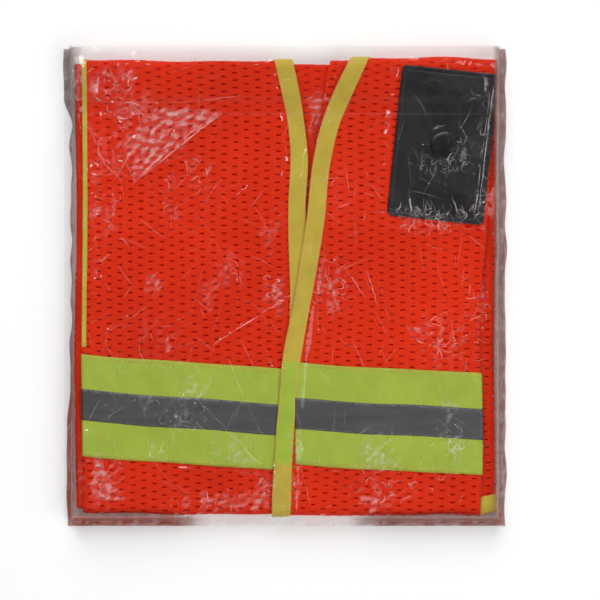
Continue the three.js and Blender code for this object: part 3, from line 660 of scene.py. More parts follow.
def clear_film(name, veil=0.0, highlight_share=1.0):
    """Thin clear film: sharp glints from its gloss, a pale painted highlight where its creases catch
    the light, and, where it bunches, painted grey shade with a painted reflection of the vest's
    orange.
    """
    n = Nodes(name)
    normal = n.bumps((n.noise(330, 3, Distortion=0.8), 0.05, 0.35), (n.noise(90, 2), 0.4, 0.3))
    gloss = n.bsdf("Glossy", Color=(1, 1, 1, 1), Roughness=0.1, Normal=normal)
    clear = n.bsdf("Transparent", Color=(0.997, 0.997, 0.997, 1))
    facing = n.add("ShaderNodeLayerWeight", {"Blend": 0.5, "Normal": normal}).outputs["Facing"]
    grazing = n.math("MULTIPLY", n.math("POWER", facing, 4.0), 0.85)
    body = n.blend(n.math("ADD", grazing, 0.032, clamp=True), clear, gloss)
    # painted highlight where creased film catches the light, read from a point attribute and broken
    # into specks
    specks = n.math("MULTIPLY_ADD", n.noise(420, 4), 1.1, 0.35)
    highlight_haze = n.math("MULTIPLY", n.value("highlight_haze"), specks, clamp=True)
    # veil adds an even cloudiness that the adhesive film itself has
    highlight_haze = n.math("MULTIPLY_ADD", highlight_haze, highlight_share, veil, clamp=True)
    # the pale colour of the painted highlight
    highlight_white = n.bsdf("Diffuse", Color=(0.95, 0.87, 0.85, 1), Roughness=0.4)
    # painted grey shade on the bunched margins, whose walls face away from the light
    shade_grey = n.ramp(n.noise(140, 3), 0.3, 0.7, tone(122, 104, 100), tone(148, 127, 123))
    # painted reflection of the vest's orange in the margins, mixed over the painted grey shade
    shade_and_vest_reflection = n.mix(n.value("vest_reflection"), shade_grey, (*tone(156, 62, 46), 1))
    shaded_margin = n.bsdf("Principled", Base_Color=shade_and_vest_reflection, Roughness=0.32, Normal=normal)
    return n.finish(n.blend(n.value("margin_shade"), n.blend(highlight_haze, body, highlight_white), shaded_margin))


OVER_ORANGE = (tone(182, 166, 56), tone(200, 182, 68))
OVER_LIME = (tone(151, 181, 53), tone(167, 191, 62))

MESH = orange_mesh()
BINDING = lime_cloth("lime_binding", OVER_ORANGE, OVER_LIME, "Y", 520)
TAPE = lime_cloth("lime_tape", OVER_LIME, (tone(157, 177, 60), tone(168, 188, 67)), "X", 330)
SILVER = silver_stripe()
VINYL = black_vinyl("black_vinyl", 900, 0.42)
SNAP = black_vinyl("snap_plastic", 2600, 0.3)
LIME_THREAD = thread("lime_thread", tone(206, 206, 96))
BLACK_THREAD = thread("black_thread", tone(70, 68, 72))
FILM = clear_film("clear_film")
ADHESIVE = clear_film("adhesive_film", veil=0.006)
RIDGE = clear_film("creased_film", highlight_share=0.8)

# ---------------------------------------------------------------- the vest's pieces


def piece(thing, body, slot, *nodes):
    """Says which body a piece moves with, and hides the CAD nodes that it stands for. Its slot is
    not used.
    """
    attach(thing, body)
    if nodes:
        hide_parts(*nodes)
    return thing


def vest_piece(thing, slot, *nodes):
    return piece(thing, "vest", slot, *nodes)


def tape_middle(place):
    """y of the tape's middle line, as a function of x."""
    return lambda x: place["up"] + place["slope"] * (np.asarray(x, float) - place["x"])


LEFT_TAPE = {"x": 72.5, "up": -92.4, "slope": math.tan(math.radians(-3.4))}
RIGHT_TAPE = {"x": -73, "up": -88, "slope": math.tan(math.radians(-4.4))}


def on_tape(place, x, v):
    """1 where a binding lies over the tape, else 0."""
    away = np.abs(v - tape_middle(place)(x))
    return 1 - smooth_step(away, TAPE_WIDTH / 2 - 1, TAPE_WIDTH / 2 + 1.5)


def right_end(v):
    return np.where(v < ARMHOLE_FOOT, right_layer.turned(v), RIGHT_FOLD + ARMHOLE_SHOWN / 2)


def back_left_end(v):
    return np.where(v > CORNER_TOP, back_layer.turned(v), UNDER_LEFT - CORNER_CUT)


def centre_back(v):
    return 0 * v


def cloth_panels():
    """The three mesh panels, each a perforated sheet folded round the pack."""
    left = mesh_cloth(
        "left_front_cloth", left_layer, left_edge, left_layer.turned, *ends(left_layer), 101, 0.02
    )
    right = mesh_cloth(
        "right_front_cloth", right_layer, right_edge, right_end, *ends(right_layer), 202, -0.012
    )
    halves = [
        mesh_cloth(name, layer, centre_back, outer, *ends(layer, 12), 303)
        for name, layer, outer in (
            ("back_cloth", back_layer, back_left_end),
            ("back_cloth_far_half", back_far_layer, back_far_layer.turned),
        )
    ]
    back = one_piece(halves)
    vest_piece(left, "mesh", "left_front_panel")
    vest_piece(right, "mesh", "right_front_panel")
    vest_piece(back, "mesh", "back_panel")
    return left, right, back


def one_piece(parts):
    """Several meshes as one object, which keeps the first one's name."""
    with bpy.context.temp_override(
        active_object=parts[0], selected_editable_objects=parts, selected_objects=parts
    ):
        bpy.ops.object.join()
    return parts[0]


def along_edge(line, v_low, v_high, away, step=2.0):
    """Points that run beside an edge line, as x and v."""
    v = np.arange(v_low, v_high, step)
    x = line(v)
    slope = np.gradient(x, v)
    norm = np.sqrt(1 + slope**2)
    return x + away / norm, v - away * slope / norm


def binding_looks(thing, x, v, edge, place):
    """Marks where a binding lies over tape, and its outer edges, for the material to read."""
    lime = on_tape(place, x, v) if place else np.zeros(x.shape)
    attribute(thing, "over_lime", lime.ravel())
    attribute(thing, "edge", edge.ravel())


def edge_binding(label, layer, line, v_low, v_high, place, seed, width=BINDING_WIDTH):
    """A binding down a panel's edge, with the two rows of stitches that hold it."""
    name = f"{label}_edge_binding"
    thing, x, v, share = ribbon(name, layer, line, v_low, v_high, width / 2, seed)
    binding_looks(thing, x, v, share, place)
    vest_piece(thing, "binding", f"{label}_binding")
    rows = []
    for side, row_name in ((-1, "outer"), (1, "inner")):
        x, v = along_edge(line, v_low + 2, v_high - 2, side * (width / 2 - SEAM))
        row = stitches(f"{name}_{row_name}_stitches", layer, x, v, LIME_THREAD, ON_BINDING)
        rows.append(vest_piece(row, "binding"))
    return [thing, *rows]


def cross_binding(label, layer, x_low, x_high, v_of_x, seed):
    """A binding that runs across the pack, such as a hem's or the neck's."""
    name = f"{label}_edge_binding"
    x = np.arange(x_low, x_high + 2, 2.0)
    v = v_of_x(x)
    slope = np.gradient(v, x)
    norm = np.sqrt(1 + slope**2)
    half = BINDING_WIDTH / 2
    across, height = strip_section(half)
    px = x[:, None] - across * slope[:, None] / norm[:, None]
    pv = v[:, None] + across / norm[:, None]
    wave = 0.16 * swell(px, pv, seed, 16) * (height > 0.01)
    thing = strip_mesh(name, layer.place(px, pv, TRIM_BASE + height + wave), flipped=True)
    binding_looks(thing, px, pv, np.broadcast_to((np.abs(across) / half) ** 4, px.shape), None)
    vest_piece(thing, "binding", f"{label}_binding")
    row = stitches(f"{name}_stitches", layer, x, v + half - SEAM, LIME_THREAD, ON_BINDING)
    return [thing, vest_piece(row, "binding")]


def hem_binding(label, layer, x_low, x_high, seed):
    """The binding of a panel's hem, on the underside of the pack."""
    return cross_binding(f"{label}_hem", layer, x_low, x_high, lambda x: hem_v(layer) + 0 * x, seed)


def hem_bindings():
    """The hem bindings of the left front, the right front and the back."""
    reach = BINDING_WIDTH / 2 + 0.6
    left_low = float(left_edge(hem_v(left_layer))) + reach
    right_high = float(right_edge(hem_v(right_layer))) - reach
    return (
        hem_binding("left", left_layer, left_low, LEFT_FOLD - 2, 61),
        hem_binding("right", right_layer, RIGHT_FOLD + 3, right_high, 62),
        hem_binding("back", back_layer, RIGHT_FOLD, LEFT_FOLD, 63),
    )


def neck_binding():
    """The back's neck, an arc between the two shoulders."""
    low, high = mm_box("back_neck_binding")
    rise = high[1] - low[1] - BINDING_WIDTH / 2

    def neck_v(x):
        share = (x - NECK_MIDDLE) / NECK_HALF
        return under_v(back_layer, SHOULDER + 1 + rise * (1 - share**2))

    neck_low, neck_high = NECK_MIDDLE - NECK_HALF, NECK_MIDDLE + NECK_HALF
    return cross_binding("back_neck", back_layer, neck_low, neck_high, neck_v, 64)


def corner_binding():
    """The short bound edge of the left armhole, which peeps out at the foot of the pack."""
    low, high = mm_box("left_armhole_binding")
    middle = mm_middle("left_armhole_binding")[1]
    return cross_binding(
        "left_armhole", corner_layer, low[0] - 6, high[0], lambda x: middle + 0.2 * (x - low[0]), 65
    )


def bindings():
    """Every lime binding of the vest, as one list for each panel."""
    left = edge_binding("left_front", left_layer, left_edge, *ends(left_layer), LEFT_TAPE, 31)
    right = edge_binding("right_front", right_layer, right_edge, *ends(right_layer), RIGHT_TAPE, 41)
    right += edge_binding(
        "right_armhole", right_layer, wavy(RIGHT_FOLD + ARMHOLE_SHOWN / 2, 0.5, 40, 1),
        ARMHOLE_FOOT + ROW_PAST + 0.5, under_v(right_layer, SHOULDER + 60), None, 51, ARMHOLE_SHOWN,
    )
    left_hem, right_hem, back_hem = hem_bindings()
    return left + left_hem, right + right_hem, back_hem + neck_binding() + corner_binding()


def tape_strip(name, layer, place, half, base, ply, x_low, x_high, material):
    """A strip across a panel, which may run on round the side fold."""
    x = np.arange(x_low, x_high + 0.9, 0.9)
    across = np.linspace(-1, 1, max(9, int(half * 2 / 1.8))) * half
    x, across = np.meshgrid(x, across)
    v = tape_middle(place)(x) + 0.35 * swell(x, 0 * x, int(half), 90) + across
    rise = ply * (1 - 0.5 * (np.abs(across) / half) ** 12)
    pucker = 0.09 * swell(x, across, 71, 11) + 0.05 * np.sin(2 * math.pi * x / STITCH_PITCH)
    near_edge = smooth_step(np.abs(across), half - 5, half - 1)

    def spot(u, w, height):
        return layer.place(u, w, base + height)

    thing = slab(name, spot, x, v, 0.0, rise + pucker * (0.4 + near_edge), material)
    attribute(thing, "edge", np.append(near_edge.ravel() ** 3 * 0.25, np.zeros(x.size)))
    attribute(thing, "over_lime", np.ones(2 * x.size))
    return thing


def tape_and_stripe(side, layer, place, x_low, x_high, tape_ply, stripe_ply):
    """A panel's lime tape with its silver stripe, each ply as its base and its thickness."""
    tape = tape_strip(
        f"{side}_tape_cloth", layer, place, TAPE_WIDTH / 2, *tape_ply, x_low, x_high, TAPE
    )
    stripe = tape_strip(
        f"{side}_stripe_film", layer, place, STRIPE_WIDTH / 2, *stripe_ply, x_low, x_high, SILVER
    )
    return [
        vest_piece(tape, "tape", f"{side}_tape"), vest_piece(stripe, "stripe", f"{side}_stripe")
    ]


def front_tape(side, layer, place, edge):
    """A front's tape and stripe, sewn on with a row of stitches down each edge of the tape."""
    inner = float(edge(place["up"])) + (BINDING_WIDTH / 2 + 0.25) * layer.side
    low, high = sorted((inner, float(layer.turned(place["up"], TAPE_RETURN))))
    on_cloth, on_tape_cloth = (TRIM_BASE, 0.35), (ON_TAPE, 0.2)
    made = tape_and_stripe(side, layer, place, low, high, on_cloth, on_tape_cloth)
    x = np.arange(low + 1, high - 1, 2.0)
    for label, away in (("upper", 1), ("lower", -1)):
        v = tape_middle(place)(x) + away * (TAPE_WIDTH / 2 - 2.2)
        row = stitches(f"{side}_tape_{label}_stitches", layer, x, v, LIME_THREAD, ON_TAPE)
        made.append(vest_piece(row, "tape"))
    return made


def tapes():
    """The tapes and stripes of the left front, the right front and the back."""
    left = front_tape("left", left_layer, LEFT_TAPE, left_edge)
    right = front_tape("right", right_layer, RIGHT_TAPE, right_edge)
    low, high = mm_box("back_tape")
    level = {"x": 0, "up": mm_middle("back_tape")[1], "slope": 0.0}
    back = tape_and_stripe(
        "back", inside_layer, level, low[0] + 1, high[0] - 1.5, (0.35, 0.3), (0.72, 0.15)
    )
    return left, right, back


class Flat:
    """Places on a flat part of a panel: on its upper face (side 1) or its lower one (side -1)."""

    def __init__(self, level, side):
        self.level = level
        self.side = side

    def place(self, x, v, height):
        z = self.level + self.side * height
        return np.stack(np.broadcast_arrays(x, v, z + relief(x, v)), axis=-1)


inside_layer = Flat(mm_box("back_panel")[1][2] - CLOTH / 2, -1)
corner_layer = Flat(back_layer.middle + back_layer.radius, 1)

# ---------------------------------------------------------------- chest pocket and its snap

POCKET = {"width": 68, "height": 106, "corner": 4, "seam": 3, "turn": math.radians(-6)}
HALF_WIDTH, HALF_HEIGHT = POCKET["width"] / 2, POCKET["height"] / 2
TURN_COS, TURN_SIN = math.cos(POCKET["turn"]), math.sin(POCKET["turn"])
EVEN_ROWS = 0.92  # below 1, a pocket's rows of points crowd less towards its ends


POCKET_X, POCKET_Y = mm_middle("pocket_front")[:2]
POCKET_TOP = mm_box("pocket_front")[1][2]
SNAP_X, SNAP_Y = mm_middle("pocket_snap_cap")[:2]
SNAP_RADIUS = (mm_box("pocket_snap_cap")[1][0] - mm_box("pocket_snap_cap")[0][0]) / 2


def pocket_place(u, w, z):
    """From the pocket's own across, up and height to the pack's frame."""
    x = POCKET_X + u * TURN_COS - w * TURN_SIN
    y = POCKET_Y + u * TURN_SIN + w * TURN_COS
    return np.stack([x, y, z + relief(x, y)], axis=-1)


def pocket_uw(x, y):
    """From the pack's frame to the pocket's own across and up."""
    right, up = x - POCKET_X, y - POCKET_Y
    return right * TURN_COS + up * TURN_SIN, up * TURN_COS - right * TURN_SIN


def pocket_grid(columns, rows):
    """Even points over a rectangle with rounded corners."""
    radius = POCKET["corner"]
    angle = np.linspace(-1, 1, rows) * math.pi / 2 * EVEN_ROWS
    w = np.sin(angle) / math.sin(math.pi / 2 * EVEN_ROWS) * HALF_HEIGHT
    into = np.maximum(np.abs(w) - (HALF_HEIGHT - radius), 0)
    width = HALF_WIDTH - radius + np.sqrt(np.maximum(radius**2 - into**2, 0))
    share = np.linspace(-1, 1, columns)
    return share[None, :] * width[:, None], np.repeat(w[:, None], columns, axis=1)


def vinyl_height(u, w):
    """The top of the pocket's front: its sewn and rolled edge, its wrinkles and its dimple."""
    inward = np.minimum(HALF_WIDTH - np.abs(u), HALF_HEIGHT - np.abs(w))
    full = smooth_step(inward, POCKET["seam"] - 1, 16)
    groove = np.exp(-((inward - POCKET["seam"]) ** 2) / 0.5)
    rolled = np.clip(1 - inward / 0.7, 0, 1) ** 2
    snap_u, snap_w = pocket_uw(SNAP_X, SNAP_Y)
    from_snap = np.hypot(u - snap_u, w - snap_w)
    dimple = np.exp(-((from_snap / (SNAP_RADIUS * 1.25)) ** 4))
    x, y = POCKET_X + u, POCKET_Y + w
    wrinkles = 0.16 * np.abs(swell(x, y, 81, 26)) + 0.1 * np.abs(swell(x * 2, y * 0.7, 82, 18))
    puffed = full * (0.35 + wrinkles) - 0.3 * dimple * full
    return POCKET_TOP - 0.25 + puffed - 0.2 * groove - 0.3 * rolled


class OnPocket:
    """Places on the pocket's sewn edge, for its stitches."""

    def place(self, u, w, height):
        return pocket_place(u, w, POCKET_TOP - 0.32 + height)


def pocket():
    """Two plies of black vinyl, stitched round three sides, and the snap that shuts it."""
    back_z = mm_middle("pocket_back")[2]
    u, w = pocket_grid(60, 90)
    back = slab("pocket_back_ply", pocket_place, u, w, back_z - 0.12, back_z + 0.12, VINYL)
    u, w = pocket_grid(150, 230)
    z = vinyl_height(u, w)
    front = slab("pocket_front_ply", pocket_place, u, w, z - 0.3, z, VINYL)
    path_u = np.array([-1, -1, 1, 1]) * (HALF_WIDTH - POCKET["seam"])
    path_w = np.array([1, -1, -1, 1]) * (HALF_HEIGHT - POCKET["seam"])
    row = stitches("pocket_stitches", OnPocket(), path_u, path_w, BLACK_THREAD, 0.0, radius=0.22)
    vest_piece(back, "vinyl", "pocket_back")
    vest_piece(front, "vinyl", "pocket_front")
    vest_piece(row, "vinyl")
    return [back, front, row, snap()]


def lathe(name, profile, centre, material, steps=72):
    """A solid of revolution from (radius, height) pairs, whose ends lie on the axis."""
    radius = np.array([p[0] for p in profile[1:-1]])
    height = np.array([p[1] for p in profile[1:-1]])
    angle = np.arange(steps) * 2 * math.pi / steps
    ring_x = centre[0] + radius[:, None] * np.cos(angle)
    ring_y = centre[1] + radius[:, None] * np.sin(angle)
    ring_z = np.repeat(centre[2] + height[:, None], steps, axis=1)
    rings = np.stack([ring_x, ring_y, ring_z], axis=-1).reshape(-1, 3)
    poles = np.array([[centre[0], centre[1], centre[2] + profile[i][1]] for i in (0, -1)])
    rows = len(radius)
    first = np.arange(steps)
    after = np.roll(first, -1)
    last = first + (rows - 1) * steps
    top = np.stack([np.full(steps, len(rings)), first, after], axis=-1)
    bottom = np.stack([np.full(steps, len(rings) + 1), np.roll(last, -1), last], axis=-1)
    sides = grid_faces(rows, steps, wrap=True)[:, ::-1]
    return new_mesh(name, np.concatenate([rings, poles]), [sides, top, bottom], material)


def snap():
    """A moulded snap: a low domed cap with a rounded rim."""
    profile = [
        (0, 1.32), (0.3, 1.3), (0.55, 1.24), (0.72, 1.12), (0.84, 0.94), (0.93, 0.68),
        (0.985, 0.4), (1, 0.2), (0.97, 0.0), (0, 0.0),
    ]
    profile = [(share * SNAP_RADIUS, height) for share, height in profile]
    lift = float(relief(np.array(SNAP_X), np.array(SNAP_Y)))
    cap = lathe("snap_cap_moulding", profile, (SNAP_X, SNAP_Y, POCKET_TOP - 0.1 + lift), SNAP)
    return vest_piece(cap, "snap", "pocket_snap_cap")


# ---------------------------------------------------------------- film

FILM_LOW, FILM_HIGH = mm_box("bag_front_film")
FILM_X, FILM_Y = FILM_HIGH[0], -FILM_LOW[1]
FLAP_LOW, FLAP_HIGH = mm_box("bag_flap")
SEAM_HEIGHT = 0.45
FLANGE = 3.4  # the flat welded rim
WALL_FROM = 148.0  # the film's sides lie outside this
MARGIN = 11  # the film bunches up this far in from its welds
MOUTH_FROM, MOUTH_TO = 150, 162  # y over which the film flattens towards the mouth
FINE_STEP, COARSE_STEP = 0.5, 0.82  # between the film's points, at its margins and elsewhere
FILM_SEED = 500
SHORT_CREASES = 260
RIDGE_STEPS = 18
FILM_CLEAR = 0.5  # from the cloth up to the film
CREASE_SHARE = 0.75  # how much of a crease's height stands up


def crumple(x, y, seed, length, folds=6):
    """Flat facets between straight creases, from 0 to 1."""
    draw = np.random.default_rng(seed)
    bent_x = x + 0.12 * length * swell(x, y, seed + 1, length * 2)
    bent_y = y + 0.12 * length * swell(x, y, seed + 2, length * 2)
    total = np.zeros(np.broadcast(x, y).shape)
    for _ in range(folds):
        angle = draw.uniform(0, math.pi)
        pitch = length * draw.uniform(0.7, 1.7)
        s = (bent_x * math.cos(angle) + bent_y * math.sin(angle)) / pitch + draw.uniform(0, 1)
        total += np.abs((s % 1) * 2 - 1)
    return total / folds


def crease(x, y, a, b, width, bow=0.0):
    """A ridge from a to b, 1 along its crest and fading at its ends."""
    ax, ay = a
    dx, dy = b[0] - ax, b[1] - ay
    length = math.hypot(dx, dy)
    t = ((x - ax) * dx + (y - ay) * dy) / length**2
    off = ((x - ax) * dy - (y - ay) * dx) / length - bow * length * (1 - (2 * t - 1) ** 2)
    fade = np.clip(np.minimum(t, 1 - t) * 6, 0, 1)
    return np.clip(1 - np.abs(off) / width, 0, 1) * fade


# Where the film is creased: long straight creases, as pairs of points, each with a height.
LONG_CREASES = [
    ((-105, 73), (-44, 122), 1.1), ((-105, 73), (-113, 92), 0.7), ((-129, -35), (-95, -13), 0.6),
    ((-95, -13), (-87, 6), 0.5), ((-126, -37), (-119, -51), 0.5), ((-118, -57), (-139, -97), 0.6),
    ((-112, -83), (-145, -107), 0.6), ((-51, -41), (-1, -9), 0.9), ((-65, -41), (-70, -69), 0.6),
    ((-36, -61), (-12, -111), 0.7), ((-41, -47), (-30, -70), 0.5), ((-118, -52), (-109, -64), 0.4),
    ((-62, -35), (-49, -45), 0.5), ((-138, 118), (-128, 90), 0.6), ((-134, 96), (-106, 74), 0.7),
    ((-118, 76), (-98, 112), 0.6), ((-137, 60), (-130, 20), 0.5), ((-122, 100), (-112, 62), 0.5),
    ((27, 14), (40, -20), 0.8), ((30, 14), (36, -12), 0.6), ((43, 12), (57, -8), 0.8),
    ((57, 12), (66, -15), 0.7), ((22, 2), (24, -34), 0.5), ((66, 6), (74, -26), 0.4),
    ((86, 70), (92, 35), 0.5), ((146, 140), (135, 50), 1.0), ((144, 138), (133, 52), 0.8),
    ((128, 60), (142, 36), 0.6), ((118, -96), (128, -50), 0.5), ((-45, 132), (-118, 128), 0.5),
    ((33, -107), (36, -86), 0.6), ((54, -62), (70, -78), 0.5), ((70, -66), (80, -92), 0.4),
    ((-62, -77), (-17, -125), 0.8), ((-32, -55), (-20, -84), 0.5), ((10, -120), (18, -152), 0.5),
    ((-28, -116), (-6, -146), 0.5), ((-66, -20), (-50, 38), 0.3),
]
# Clusters of finer creases: x, y, reach across and up, how curly they are and how strong their
# painted highlight is.
CLUSTERS = [
    (-122, 142, 17, 15, 0.9, 0.15), (-104, 126, 18, 11, 1.0, 0.35), (-66, 121, 17, 5, 0.2, 0.75),
    (-98, 101, 24, 14, 0.4, 0.6), (-60, 84, 9, 8, 0.8, 0.15), (-132, 84, 10, 22, 0.7, 0.2),
    (-126, 48, 12, 20, 0.6, 0.15), (-134, 12, 10, 10, 0.6, 0.1), (-6, -6, 9, 12, 0.8, 0.4),
    (-38, 12, 10, 14, 0.6, 0.2), (-92, 2, 7, 6, 0.5, 0.4), (-70, -88, 15, 12, 1.0, 0.2),
    (-38, -112, 15, 10, 0.5, 0.45), (-128, -134, 14, 17, 0.6, 0.6), (-90, -112, 6, 9, 0.9, 0.1),
    (-52, -151, 26, 8, 0.6, 0.4), (-14, -146, 10, 14, 0.7, 0.3), (32, 2, 14, 20, 0.6, 0.3),
    (112, -38, 18, 20, 0.7, 0.25), (67, -112, 16, 14, 0.5, 0.45), (118, -112, 12, 18, 0.9, 0.3),
    (70, -144, 22, 10, 0.7, 0.35), (104, 46, 26, 8, 0.9, 0.25), (137, 58, 7, 10, 1.0, 0.3),
    (122, 90, 13, 10, 0.7, 0.1), (136, -14, 8, 18, 0.7, 0.15), (24, 124, 8, 12, 0.5, 0.4),
    (-70, 60, 26, 20, 0.3, 0.08), (104, 84, 16, 14, 0.5, 0.08), (-88, -30, 22, 14, 0.3, 0.1),
    (-145, 148, 6, 20, 1.0, 0.4), (-60, -68, 14, 8, 0.3, 0.3), (8, -108, 6, 12, 0.7, 0.35),
    (-104, -60, 30, 20, 0.25, 0.05), (40, 60, 20, 26, 0.25, 0.05), (140, 110, 6, 40, 0.5, 0.1),
]


# Facets of film with a painted highlight where they catch the light: three corners, and how strong
# each one's painted highlight is.
HIGHLIGHT_FACETS = [
    ((-105, 74), (-44.5, 121.6), (-88, 127), 0.6), ((-105, 74), (-88, 127), (-114, 102), 0.45),
    ((-84, 124.6), (-64, 124), (-82, 117.5), 0.9), ((-64, 124), (-66, 118), (-84, 117.5), 0.8),
    ((-134, -118), (-128, -150), (-112, -148), 0.6), ((-91, 6), (-84, 4), (-90, -7), 0.6),
    ((-82, -34), (-78, -46), (-84, -45), 0.5), ((-61, -150), (-12, -141), (-30, -155), 0.35),
    ((-16, -132), (-24, -156), (-11, -154), 0.5), ((56, -107), (82, -126), (58, -131), 0.4),
    ((85, -27), (95, -29), (90, -37), 0.45), ((52, -146), (79, -149), (60, -158), 0.5),
    ((5, -132), (12, -137), (8, -153), 0.45), ((15, 134), (27, 131), (22, 112), 0.5),
    ((-66, -58), (-54, -80), (-72, -78), 0.35), ((-38, -108), (-20, -124), (-34, -128), 0.4),
    ((30, 8), (36, -4), (30, -22), 0.3), ((-6, 4), (0, -8), (-12, -12), 0.5),
    ((-104, -72), (-92, -76), (-98, -92), 0.2), ((108, -70), (122, -84), (112, -98), 0.3),
    ((-20, 40), (-2, 52), (-10, 18), 0.12), ((-60, -2), (-42, 14), (-52, -20), 0.2),
]


def inside_triangle(x, y, corners, edge=0.9):
    """1 inside a triangle, fading to 0 across its edge."""
    middle_x = sum(c[0] for c in corners) / 3
    middle_y = sum(c[1] for c in corners) / 3
    inside = np.full(x.shape, 1e9)
    for (ax, ay), (bx, by) in zip(corners, corners[1:] + corners[:1]):
        length = math.hypot(bx - ax, by - ay)
        off = ((x - ax) * (by - ay) - (y - ay) * (bx - ax)) / length
        sign = math.copysign(1, (middle_x - ax) * (by - ay) - (middle_y - ay) * (bx - ax))
        inside = np.minimum(inside, off * sign)
    return smooth_step(inside, -edge, edge)


def cluster_masks(x, y):
    """How strong the curls and the painted highlight of the clusters are at each point."""
    curl = np.zeros(x.shape)
    highlight_haze = np.zeros(x.shape)
    for cx, cy, reach_x, reach_y, curly, highlight_strength in CLUSTERS:
        near = np.exp(-(((x - cx) / reach_x) ** 2 + ((y - cy) / reach_y) ** 2) ** 1.5)
        curl = np.maximum(curl, near * curly)
        highlight_haze = np.maximum(highlight_haze, near * highlight_strength)
    return curl, highlight_haze


def crease_lines(x, y, draw):
    """The straight creases, the long ones and many short ones, as high as each stands."""
    lines = np.zeros(x.shape)
    for a, b, height in LONG_CREASES:
        lines = np.maximum(lines, height * crease(x, y, a, b, 1.1, draw.uniform(-0.04, 0.04)))
    for _ in range(SHORT_CREASES):
        cx, cy = draw.uniform(-148, 148), draw.uniform(-158, 160)
        angle = draw.uniform(0, math.pi)
        reach = draw.uniform(4, 16)
        dx, dy = reach * math.cos(angle), reach * math.sin(angle)
        height = draw.uniform(0.1, 0.4)
        bow = draw.uniform(-0.1, 0.1)
        line = crease(x, y, (cx - dx, cy - dy), (cx + dx, cy + dy), 0.9, bow)
        lines = np.maximum(lines, height * line)
    return lines


def film_creases(x, y, seed=FILM_SEED):
    """The film's creases: how high they stand, and the painted highlight on them."""
    curl, highlight_haze = cluster_masks(x, y)
    curl = curl * np.clip(0.55 + 0.6 * swell(x, y, seed, 14), 0, 1)
    high = 1.5 * crumple(x, y, seed + 3, 52)
    high += (0.25 + 1.6 * curl) * crumple(x, y, seed + 6, 17)
    loops = np.clip(1 - np.abs(swell(x, y, seed + 9, 9)) / 0.22, 0, 1)
    small = np.clip(1 - np.abs(swell(x, y, seed + 10, 5.5)) / 0.25, 0, 1)
    high += curl * (0.55 * loops + 0.3 * small)
    high += 0.75 * crease_lines(x, y, np.random.default_rng(seed + 12))
    # facets, torn patches and streaks break up the painted highlight
    facets = smooth_step(crumple(x, y, seed + 15, 9, 3), 0.56, 0.6)
    torn = smooth_step(swell(x, y, seed + 18, 5), -0.4, 0.5)
    highlight_haze = highlight_haze * facets * (0.25 + 0.75 * torn) * 0.3
    streaks = smooth_step(swell(x + y, 3.5 * (y - x), seed + 19, 26), -0.9, 0.7)
    for *corners, strength in HIGHLIGHT_FACETS:
        veil = inside_triangle(x, y, corners) * (0.12 + 0.88 * streaks) * (0.15 + 0.85 * torn)
        highlight_haze = np.maximum(highlight_haze, 0.5 * strength * veil)
    return high, np.clip(highlight_haze, 0, 1)


def wander(draw, start, heading, length, wiggle):
    """A path that sets off from a point and curls as it goes."""
    turning = np.cumsum(draw.normal(0, wiggle, RIDGE_STEPS)) * 0.5
    turning = turning + draw.normal(0, wiggle, RIDGE_STEPS)
    angle = heading + np.cumsum(turning) * 0.5
    pace = length / RIDGE_STEPS
    return start[0] + np.cumsum(pace * np.cos(angle)), start[1] + np.cumsum(pace * np.sin(angle))


def long_ridges(draw):
    """The long creases, in parts that waver a little."""
    share = np.linspace(0, 1, RIDGE_STEPS)
    for a, b, height in LONG_CREASES:
        parts = max(1, int(math.hypot(b[0] - a[0], b[1] - a[1]) / 16))
        for part in range(parts):
            t = (part + share) / parts
            off = 0.5 * swell(t * 60, t * 0 + a[0], int(abs(a[1])) + 1, 12)
            x = a[0] + (b[0] - a[0]) * t + off * 0.6
            y = a[1] + (b[1] - a[1]) * t + off
            yield x, y, draw.uniform(0.16, 0.34) * height, draw.uniform(0.45, 1.0) * height


def cluster_ridges(draw):
    """The curls of each cluster."""
    for cx, cy, reach_x, reach_y, curly, _ in CLUSTERS:
        for _ in range(int(curly**1.6 * reach_x * reach_y * 0.2) + 2):
            start = (cx + draw.normal(0, 0.5) * reach_x, cy + draw.normal(0, 0.5) * reach_y)
            heading, length = draw.uniform(0, 2 * math.pi), draw.uniform(2.5, 12)
            x, y = wander(draw, start, heading, length, 0.32 * curly + 0.05)
            half = draw.uniform(0.12, 0.3)
            yield x, y, half, draw.uniform(0.25, 0.9) ** 1.8 * min(1, curly + 0.25)


# Ridges strewn over the whole film, and others over the pocket's lower edge: how many, where they
# start in x and y, their heading and its spread, length, wiggle, half width and painted highlight
# strength.
STREWN_RIDGES = [
    (250, (-140, 146), (-156, 156), (1.9, 0.7), (5, 30), 0.02, (0.08, 0.2), (0.08, 0.45)),
    (34, (78, 134), (48, 54), (math.pi / 2, 0.25), (3, 11), 0.08, (0.12, 0.26), (0.2, 0.75)),
]


def strewn_ridges(draw):
    """Single ridges, without a cluster."""
    for count, span_x, span_y, heading, length, wiggle, half, bright in STREWN_RIDGES:
        for _ in range(count):
            start = (draw.uniform(*span_x), draw.uniform(*span_y))
            x, y = wander(draw, start, draw.normal(*heading), draw.uniform(*length), wiggle)
            yield x, y, draw.uniform(*half), draw.uniform(*bright)


def snap_ridges(draw):
    """Ridges that curl round the foot of the snap."""
    for _ in range(26):
        angle = draw.uniform(-2.4, 0.4)
        away = SNAP_RADIUS * draw.uniform(1.05, 1.9)
        start = (SNAP_X + away * math.cos(angle), SNAP_Y + away * math.sin(angle))
        x, y = wander(draw, start, angle + draw.normal(1.2, 0.5), draw.uniform(3, 9), 0.1)
        yield x, y, draw.uniform(0.12, 0.22), draw.uniform(0.1, 0.45)


def ridge_paths():
    """The sharp little ridges of the creased film: (x, y, half width, strength of the painted
    highlight) along each.
    """
    draw = np.random.default_rng(900)
    for ridges_of in (long_ridges, cluster_ridges, strewn_ridges, snap_ridges):
        yield from ridges_of(draw)


